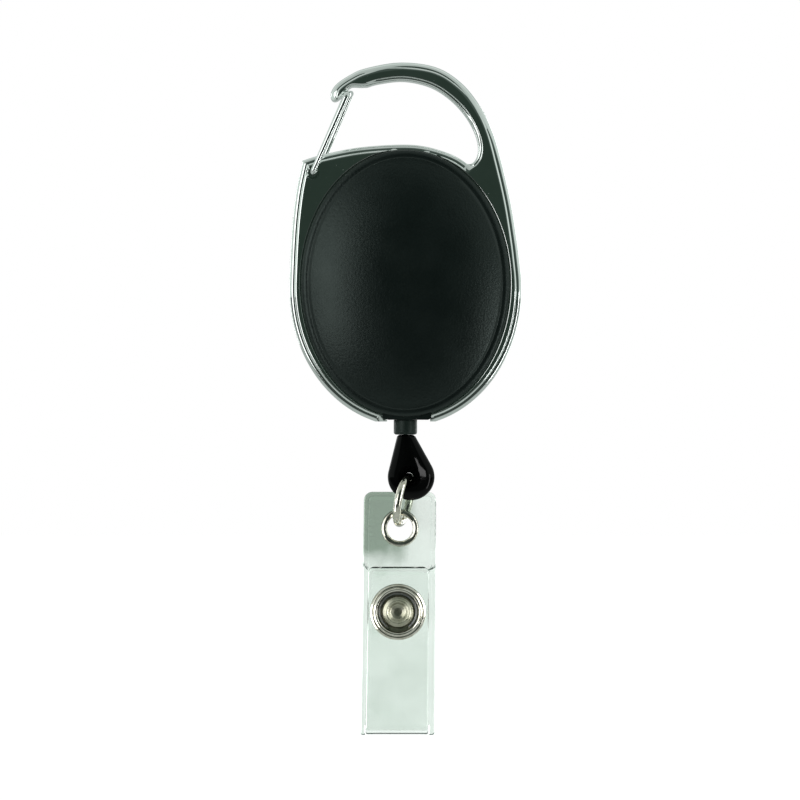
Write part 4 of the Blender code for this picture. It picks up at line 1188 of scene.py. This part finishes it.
def make_teardrop():
    """Glossy drop, bored for the cord, pocketed behind for the knot, holed and countersunk for the ring."""
    bottom_z = DROP_CENTRE.z - DROP_RADIUS
    sections = 64
    sides = 80
    points = []
    for index in range(sections):
        z = DROP_TOP.z + (bottom_z - DROP_TOP.z) * math.sin(math.pi / 2 * index / sections)
        top_round = DROP_TOP_ROUND * (1 - min((DROP_TOP.z - z) / DROP_TOP_ROUND_LENGTH, 1)) ** 2
        left = drop_edge(-1, z) + top_round
        right = drop_edge(1, z) - top_round
        deep = drop_half_depth(z) - top_round
        for step in range(sides):
            turn = math.tau * step / sides
            across = math.copysign(abs(math.cos(turn)) ** DROP_SQUARENESS, math.cos(turn))
            along = math.copysign(abs(math.sin(turn)) ** DROP_SQUARENESS, math.sin(turn))
            points.append(((left + right) / 2 + (right - left) / 2 * across, deep * along, z))
    points.append((DROP_CENTRE.x, 0, bottom_z))
    faces = [tuple(range(sides))]
    for index in range(sections - 1):
        faces += band(index * sides, (index + 1) * sides, sides)
    last = (sections - 1) * sides
    faces += [(last + step, last + (step + 1) % sides, sections * sides) for step in range(sides)]
    made = new_piece("drop", points, faces, GLOSS_PLASTIC, 60)
    tools = [
        turned("cord_bore", [
            (0, -4, 0), (0.65, -4, 0), (0.65, -0.25, 0), (0.85, 0.05, 0), (0.85, 1, 0), (0, 1, 0)],
               Vector((0, 0, DROP_TOP.z)), UP, GLOSS_PLASTIC, 32),
        turned("knot_pocket", [
            (0, -1, 0), (1.15, -1, 0.3), (1.15, 1.25, 0), (1.3, 1.5, 0), (1.6, 3, 0), (0, 3, 0)],
               Vector((0, 0, KNOT_Z)), BACK, GLOSS_PLASTIC, 48),
        turned("ring_hole", [
            (0, -2.2, 0), (2.3, -2.2, 0), (1.95, -1.45, 0.3), (0.92, 0.45, 0.3), (0.735, 0.9, 0.1),
            (0.735, 1.2, 0.1), (1.9, 2.2, 0), (0, 2.2, 0)],
               Vector((RING_TOP.x, 0, RING_TOP.z)), BACK, CASE_PLASTIC, 72)]
    cut(made, tools, 40)
    return placed(made, "cord_stop", "gloss_black", "teardrop")


def make_ring():
    """A bent wire ring, its two ends butted at the side."""
    centre = (RING_TOP + RING_BOTTOM) / 2
    radius = (RING_TOP - RING_BOTTOM).length / 2
    up = (RING_TOP - centre).normalized()
    front = Vector((-math.sin(RING_YAW), -math.cos(RING_YAW), 0))
    front = (front - up * front.dot(up)).normalized()
    points = []
    count = 96
    for step in range(count + 1):
        turn = -RING_SEAM + RING_GAP + (math.tau - 2 * RING_GAP) * step / count
        points.append(centre + (up * math.cos(turn) + front * math.sin(turn)) * radius)
    made = tube("wire_ring", points, RING_WIRE_RADIUS, 28, NICKEL, dome=0.08)
    return placed(made, "ring", "nickel", "jump_ring")


# ---------------------------------------------------------------- strap

FOLD_RADIUS = (REAR_LEAF_Y - FRONT_LEAF_Y) / 2
FOLD_START = -FOLD_CENTRE_Z
FOLD_END = FOLD_START + math.pi * FOLD_RADIUS
TONGUE_END = FOLD_END + (TONGUE_TOP_Z - FOLD_CENTRE_Z)
STRAP_EDGE = (0.28, 0, 0)
STRAP_ROWS = (0.33, 0.38, 0.44, 0.5, 0.62, 0.72, 0.82, 0.92, 1.02)
TONGUE_THINNING = 0.27
TONGUE_TAPER = 0.44
WELD_DEPTH = 0.07
WELD_INSET = 0.82
WELD_WIDTH = 0.11
MARK_DEPTH = 0.24
MARK_WIDTH = 0.12
HOLE_EDGE = (0.1, 0, 0)
EYELET_HOLE = 2.45
STUD_HOLE = 1.05
PRONG_RING_HOLE = 3.8
CALM_LENGTH = 3
SNAP_WIRE_TURN = 3.2
SNAP_WIRE_Y = -0.35
SNAP_WIRE_RADIUS = 0.22
SLIT_LEFT = -7.03
SLIT_RIGHT = 4.05
CORNER_MARKS = [
    [(-7.22, 84.75), (-6.95, 85.05), (-6.62, 85.5)], [(5.0, 85.22), (4.7, 85.32), (4.25, 85.6)]]


def strap_place(x, along, out):
    """A point of the strap: along its length from the top, out from its middle layer to the outside."""
    ear = (x < SLIT_LEFT or x > SLIT_RIGHT) and along < -STRAP_BOTTOM_Z + 0.01
    if along <= FOLD_START or ear:
        return (x, REAR_LEAF_Y + out, -along)
    middle = (REAR_LEAF_Y + FRONT_LEAF_Y) / 2
    if along < FOLD_END:
        turn = (along - FOLD_START) / FOLD_RADIUS
        reach = FOLD_RADIUS + out
        return (x, middle + reach * math.cos(turn), FOLD_CENTRE_Z - reach * math.sin(turn))
    return (x, FRONT_LEAF_Y - out, FOLD_CENTRE_Z + along - FOLD_END)


def strap_wave(x, along):
    """The strap's slight unevenness, in millimetres."""
    return (
        0.035 * math.sin(along * 0.42 + 0.5 * x) + 0.03 * math.sin(along * 0.19 - 0.33 * x + 1.7)
        + 0.02 * math.sin(along * 0.9 + 1.1 * math.sin(0.5 * x)))


def strap_fall(plate, points):
    """How far the strap's faces fall at its edges; the tongue's end thins over a longer way."""
    thinned = TONGUE_THINNING * np.clip(1 - (TONGUE_END - points[:, 1]) / TONGUE_TAPER, 0, 1)
    return np.maximum(plate.fall(points), thinned)


def strap_layer(points, heights, side):
    """Points at their heights on one side of the strap's middle layer, waved less towards the fold."""
    found = []
    for (x, along), height in zip(points, heights):
        quiet = min(abs(along - FOLD_START), abs(along - FOLD_END), CALM_LENGTH) / CALM_LENGTH
        if FOLD_START < along < FOLD_END:
            quiet = 0
        found.append(strap_place(x, along, side * height + strap_wave(x, along) * quiet))
    return found


def divided(outline, spacing):
    """A closed outline with each side cut into even steps of about this length."""
    dense = [outline[0]]
    for start, end in zip(outline, [*outline[1:], outline[0]]):
        steps = max(int(math.dist(start, end) / spacing), 1)
        for step in range(1, steps + 1):
            t = step / steps
            dense.append((start[0] + (end[0] - start[0]) * t, start[1] + (end[1] - start[1]) * t))
    return np.array(dense)


def make_strap():
    """One strip of vinyl: rear leaf, fold and narrower front leaf, with a welded line along its edge."""
    ear = -STRAP_BOTTOM_Z
    top = -STRAP_TOP_Z
    corners = [
        (-7.25, top, 1.5), (5.4, top, 1.5), (5.1, ear, 0.45), (4.15, ear, 0.12), (4.15, FOLD_START - 0.1, 0),
        (3.95, FOLD_START - 0.1, 0), (3.95, FOLD_END, 0), (4.1, TONGUE_END, 1.1), (-6.5, TONGUE_END, 1.1),
        (-6.95, FOLD_END, 0), (-6.95, FOLD_START - 0.1, 0), (-7.1, FOLD_START - 0.1, 0), (-7.1, ear, 0.12),
        (-7.9, ear, 0.4)]
    line = divided(rounded_outline(corners, 8), 0.35)
    snap_along = FOLD_END + (SNAP.z - FOLD_CENTRE_Z)
    holes = [
        (circle(EYELET.x, -EYELET.z, EYELET_HOLE, 56), HOLE_EDGE),
        (circle(SNAP.x, -SNAP.z, STUD_HOLE, 36), HOLE_EDGE),
        (circle(SNAP.x, snap_along, PRONG_RING_HOLE, 72), HOLE_EDGE)]
    plate = Plate([(line, STRAP_EDGE)], holes, fill=0.75)
    marks = [evened(mark, 0.08) for mark in CORNER_MARKS]
    points, faces = plate.triangles(extra_depths=STRAP_ROWS, marks=marks)
    groove = WELD_DEPTH * np.exp(-((distance_to(points, line) - WELD_INSET) / WELD_WIDTH) ** 2)
    on_rear_leaf = points[:, 1] < FOLD_START - 1
    groove *= np.where(on_rear_leaf, 1.0, 0.55)
    for mark in marks:
        groove = np.maximum(groove, MARK_DEPTH * np.exp(-(distance_to(points, mark) / MARK_WIDTH) ** 2))
    heights = LEAF_HALF - strap_fall(plate, points) - groove
    parts = [(strap_layer(points, heights, side), faces) for side in (-1, 1)]
    for loop in plate.loops:
        heights = LEAF_HALF - strap_fall(plate, loop)
        loop_points = strap_layer(loop, heights, -1) + strap_layer(loop, heights, 1)
        parts.append((loop_points, band(0, len(loop), len(loop))))
    points, faces = joined(parts)
    made = new_piece("card_strap", points, faces, VINYL, 50)
    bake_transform(made)
    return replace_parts(made, "strap_rear_leaf", "strap_fold", "strap_front_leaf")


def make_eyelet():
    """Eyelet rolled over in front and clinched on a washer behind."""
    made = turned("eyelet_rolled", [
        (2.27, 1.45, 0.1), (2.42, 1.2, 0.12), (2.77, 1.1, 0.25), (3.15, 1.2, 0.25), (3.32, 1.52, 0.15),
        (3.2, 1.78, 0.08), (2.38, 1.78, 0), (2.38, 2.75, 0), (2.85, 2.75, 0.05), (2.9, 2.9, 0.06),
        (2.55, 2.98, 0.1), (2.27, 2.8, 0.12)], EYELET, BACK, NICKEL, 112)
    placed(made, "strap", "nickel", "eyelet")
    washer = turned("eyelet_clinch", [
        (2.42, 2.5, 0), (3.25, 2.5, 0.05), (3.25, 2.68, 0.07), (2.42, 2.68, 0)], EYELET, BACK, NICKEL, 112)
    return [made, placed(washer, "strap", "nickel", "eyelet_washer")]


SNAP_PIECES = {
    "stud_turned": ("strap", "snap_stud", [
        (1.0, 1.75, 0), (3.7, 1.75, 0.05), (3.9, 1.6, 0.05), (3.9, 1.45, 0.05), (3.7, 1.35, 0.05),
        (1.75, 1.3, 0.15), (1.5, 0.9, 0.2), (1.7, 0.35, 0.15), (1.65, 0.0, 0.1), (1.3, -0.15, 0.1),
        (1.0, -0.1, 0.05)]),
    "rear_cap": ("strap", "snap_post", [
        (0, 0.15, 0), (0.75, 0.15, 0.05), (0.9, 0.3, 0.05), (0.9, 2.52, 0), (4.0, 2.52, 0.05),
        (4.05, 2.72, 0.08), (3.6, 3.02, 0.3), (2.3, 3.2, 0.5), (0, 3.25, 0)]),
    "prong_ring": ("strap_flap", "snap_ring", [
        (3.58, 0.2, 0), (3.7, 0.2, 0), (3.7, -0.55, 0.05), (4.82, -0.55, 0.05), (4.93, -0.68, 0.06),
        (4.86, -0.92, 0.2), (4.5, -1.16, 0.25), (4.3, -1.12, 0.08), (4.22, -1.52, 0.15), (3.95, -1.68, 0.16),
        (3.66, -1.56, 0.14), (3.52, -1.1, 0.1)]),
    "socket_turned": ("strap_flap", "snap_socket", [
        (0, -0.50, 0), (0.7, -0.55, 0.3), (1.3, -0.74, 0.4), (1.72, -1.14, 0.12), (1.98, -1.28, 0.14),
        (2.3, -1.12, 0.15), (2.62, -1.0, 0.15), (2.85, -0.65, 0.12), (2.85, 0.28, 0), (4.4, 0.28, 0),
        (4.45, 0.45, 0), (4.25, 0.62, 0), (2.0, 0.62, 0), (2.0, -0.30, 0), (0, -0.30, 0)]),
}


def make_snap():
    """Stud and cap on the rear leaf; prong ring, socket and its wire spring on the front leaf."""
    fittings = []
    for name, (body, node, corners) in SNAP_PIECES.items():
        look = SATIN_NICKEL if name == "socket_turned" else NICKEL
        made = turned("snap_" + name, corners, SNAP, BACK, look, 112)
        fittings.append(placed(made, body, "nickel", node))
    points = []
    for turn in np.radians(np.linspace(-55, 235, 60)):
        across = Vector((math.cos(turn), 0, math.sin(turn)))
        points.append(SNAP + BACK * SNAP_WIRE_Y + across * SNAP_WIRE_TURN)
    wire = tube("snap_wire", points, SNAP_WIRE_RADIUS, 14, STEEL, dome=0.1)
    placed(wire, "strap_flap", "steel", "snap_spring")
    return fittings


# ---------------------------------------------------------------- inner parts kept from the CAD

INNER_PARTS = {
    "thrust_washer": WHITE_PLASTIC, "spool": WHITE_PLASTIC, "cord_winding": CORD, "spring_cover": STEEL,
    "power_spring": STEEL}


def finish_inner_parts():
    for node, material in INNER_PARTS.items():
        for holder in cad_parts[node].material_slots:
            holder.material = material


# ---------------------------------------------------------------- studio

FLOOR_HALF = 30000.0
FLOOR_Z = -1000.0
VIEW_HEIGHT = 0.140
LENS = 200.0
SENSOR = 36.0
CAMERA_X = -0.00095
CAMERA_Z = -0.05574
MIDDLE = (0, 0, -0.05)
STUDIO_LIGHTS = {
    "left_box": ((-0.36, -0.46, -0.02), 0.24, 0.45, 0.65),
    "right_box": ((0.46, -0.36, -0.20), 0.06, 0.35, 0.40),
    "back_left_box": ((-0.44, 0.40, -0.02), 0.08, 0.35, 0.3),
    "back_right_box": ((0.36, 0.46, -0.02), 0.24, 0.45, 0.65)}


def make_floor():
    """A pale floor well below the strap when the cord is all out, dark in front in reflections."""
    look = Recipe("floor", (0.9, 0.9, 0.9), 0.9)
    look.set("Emission Color", (1, 1, 1, 1))
    path = look.tree.nodes.new("ShaderNodeLightPath").outputs
    seen = look.maths("MAXIMUM", path["Is Camera Ray"], path["Is Transmission Ray"])
    look.link(look.span(seen, 0.0, 0.6), "Emission Strength")
    away = look.span(look.maths("MULTIPLY", look.axis("Y"), -1), 0, 1, 0.9, 1.9)
    dimmed = look.maths("MULTIPLY", away, path["Is Glossy Ray"])
    tone = look.maths("SUBTRACT", look.span(look.noise(3, 2), 0.9, 1.0), dimmed)
    look.paint(tone, (0.0, (0.04, 0.05, 0.045)), (0.1, (0.05, 0.06, 0.055)), (1.0, (0.83, 0.83, 0.83)))
    corners = [(FLOOR_HALF * x, FLOOR_HALF * y, FLOOR_Z) for x, y in ((-1, -1), (1, -1), (1, 1), (-1, 1))]
    new_piece("floor", corners, [(0, 1, 2, 3)], look.material)


ROOM_SHADES = [
    (0.0, (0.024, 0.038, 0.030)), (0.0075, (0.042, 0.060, 0.050)), (0.035, (0.075, 0.098, 0.088)),
    (0.105, (0.05, 0.07, 0.06)), (0.14, (0.52, 0.58, 0.55)), (0.25, (0.68, 0.74, 0.71)),
    (0.5, (0.74, 0.80, 0.77)), (0.8, (0.70, 0.76, 0.73)), (0.9, (0.46, 0.51, 0.49)),
    (1.0, (0.42, 0.47, 0.45))]
THROUGH_VINYL = [
    (0.0, (0.01, 0.04, 0.03)), (0.84, (0.02, 0.07, 0.05)), (0.93, (0.20, 0.30, 0.25)),
    (0.97, (0.90, 0.95, 0.93)), (0.985, (1, 1, 1))]


def make_world():
    """White where it is seen directly; a pale room, dark straight ahead, where it is reflected.

    For light that has passed through the vinyl it is white near the Y axis and dark green away from it.
    """
    world = bpy.data.worlds.new("studio")
    bpy.context.scene.world = world
    world.use_nodes = True
    tree = world.node_tree
    tree.nodes.clear()

    def maths(operation, *values):
        return new_node(tree, "ShaderNodeMath", dict(enumerate(values)), operation=operation).outputs[0]

    def either(choice, first, second):
        inputs = {"Fac": choice, "Color1": first, "Color2": second}
        return new_node(tree, "ShaderNodeMixRGB", inputs).outputs["Color"]

    place = tree.nodes.new("ShaderNodeTexCoord").outputs["Generated"]
    along = new_node(tree, "ShaderNodeSeparateXYZ", {0: place}).outputs
    path = tree.nodes.new("ShaderNodeLightPath").outputs
    shade = new_ramp(tree, maths("MULTIPLY_ADD", along["Y"], 0.5, 0.5), ROOM_SHADES)
    steep = new_span(tree, maths("ABSOLUTE", along["Z"]), 0.0, 0.28, 0.30, 0.80)
    facing = new_span(tree, along["Y"], 1.0, 0.0, 0.05, 0.30)
    remaining = maths("SUBTRACT", 1.0, maths("MULTIPLY", steep, facing))
    room = new_node(tree, "ShaderNodeVectorMath", {0: shade}, operation="SCALE")
    tree.links.new(remaining, room.inputs["Scale"])
    through = new_ramp(tree, maths("ABSOLUTE", along["Y"]), THROUGH_VINYL)
    behind = either(path["Is Transmission Ray"], room.outputs[0], through)
    shown = either(path["Is Camera Ray"], behind, (1, 1, 1, 1))
    background = new_node(tree, "ShaderNodeBackground", {"Color": shown})
    new_node(tree, "ShaderNodeOutputWorld", {"Surface": background.outputs[0]})


def area_light(name, place, target, width, height, power):
    light = bpy.data.lights.new(name, "AREA")
    light.shape = "RECTANGLE"
    light.size = width
    light.size_y = height
    light.energy = power
    made = bpy.data.objects.new(name, light)
    bpy.context.scene.collection.objects.link(made)
    made.location = place
    made.rotation_euler = (Vector(target) - Vector(place)).to_track_quat("-Z", "Y").to_euler()
    return made


def make_lights():
    """A wide soft box to the left of the camera and a narrow one to its right, and two more behind."""
    for name, (place, width, height, power) in STUDIO_LIGHTS.items():
        area_light(name, place, MIDDLE, width, height, power)


def light_plating_alone(pieces):
    """Two tall boxes far out to the sides that only the strap's plated fittings show."""
    fittings = bpy.data.collections.new("lit_by_side_boxes")
    for piece in pieces:
        fittings.objects.link(piece)
    for side in (-1, 1):
        place = (0.52 * side, -0.24, -0.09 + 0.13 * side)
        box = area_light("side_box", place, (0, 0, -0.09), 0.14, 0.55, 1.3)
        box.light_linking.receiver_collection = fittings


def light_gloss_alone(piece):
    """The glossy drop shows one small soft box, and not the wide ones that model the case."""
    small = area_light("drop_box", (0.24, -0.62, -0.045), (0, 0, -0.068), 0.22, 0.065, 0.40)
    only = bpy.data.collections.new("lit_by_drop_box")
    only.objects.link(piece)
    small.light_linking.receiver_collection = only
    for name in ("left_box", "back_right_box"):
        others = bpy.data.collections.new("not_lit_by_" + name)
        others.objects.link(piece)
        others.collection_objects[0].light_linking.link_state = "EXCLUDE"
        bpy.data.objects[name].light_linking.receiver_collection = others


def make_camera():
    """Straight on from the front, as far back as a long lens needs."""
    camera = bpy.data.cameras.new("camera")
    camera.lens = LENS
    camera.sensor_width = SENSOR
    camera.clip_start = 0.01
    camera.clip_end = 100
    made = bpy.data.objects.new("camera", camera)
    bpy.context.scene.collection.objects.link(made)
    made.location = (CAMERA_X, -VIEW_HEIGHT * LENS / SENSOR, CAMERA_Z)
    made.rotation_euler = (math.radians(90), 0, 0)
    bpy.context.scene.camera = made
    bpy.context.scene.view_settings.view_transform = "Standard"


make_camera()
make_world()
make_lights()
make_floor()
make_frame()
make_gate()
make_front_cover()
make_rear_cover()
make_screws()
make_post()
make_guide()
make_cord()
make_knot()
light_gloss_alone(make_teardrop())
make_strap()
light_plating_alone([make_ring(), *make_eyelet(), *make_snap()])
finish_inner_parts()
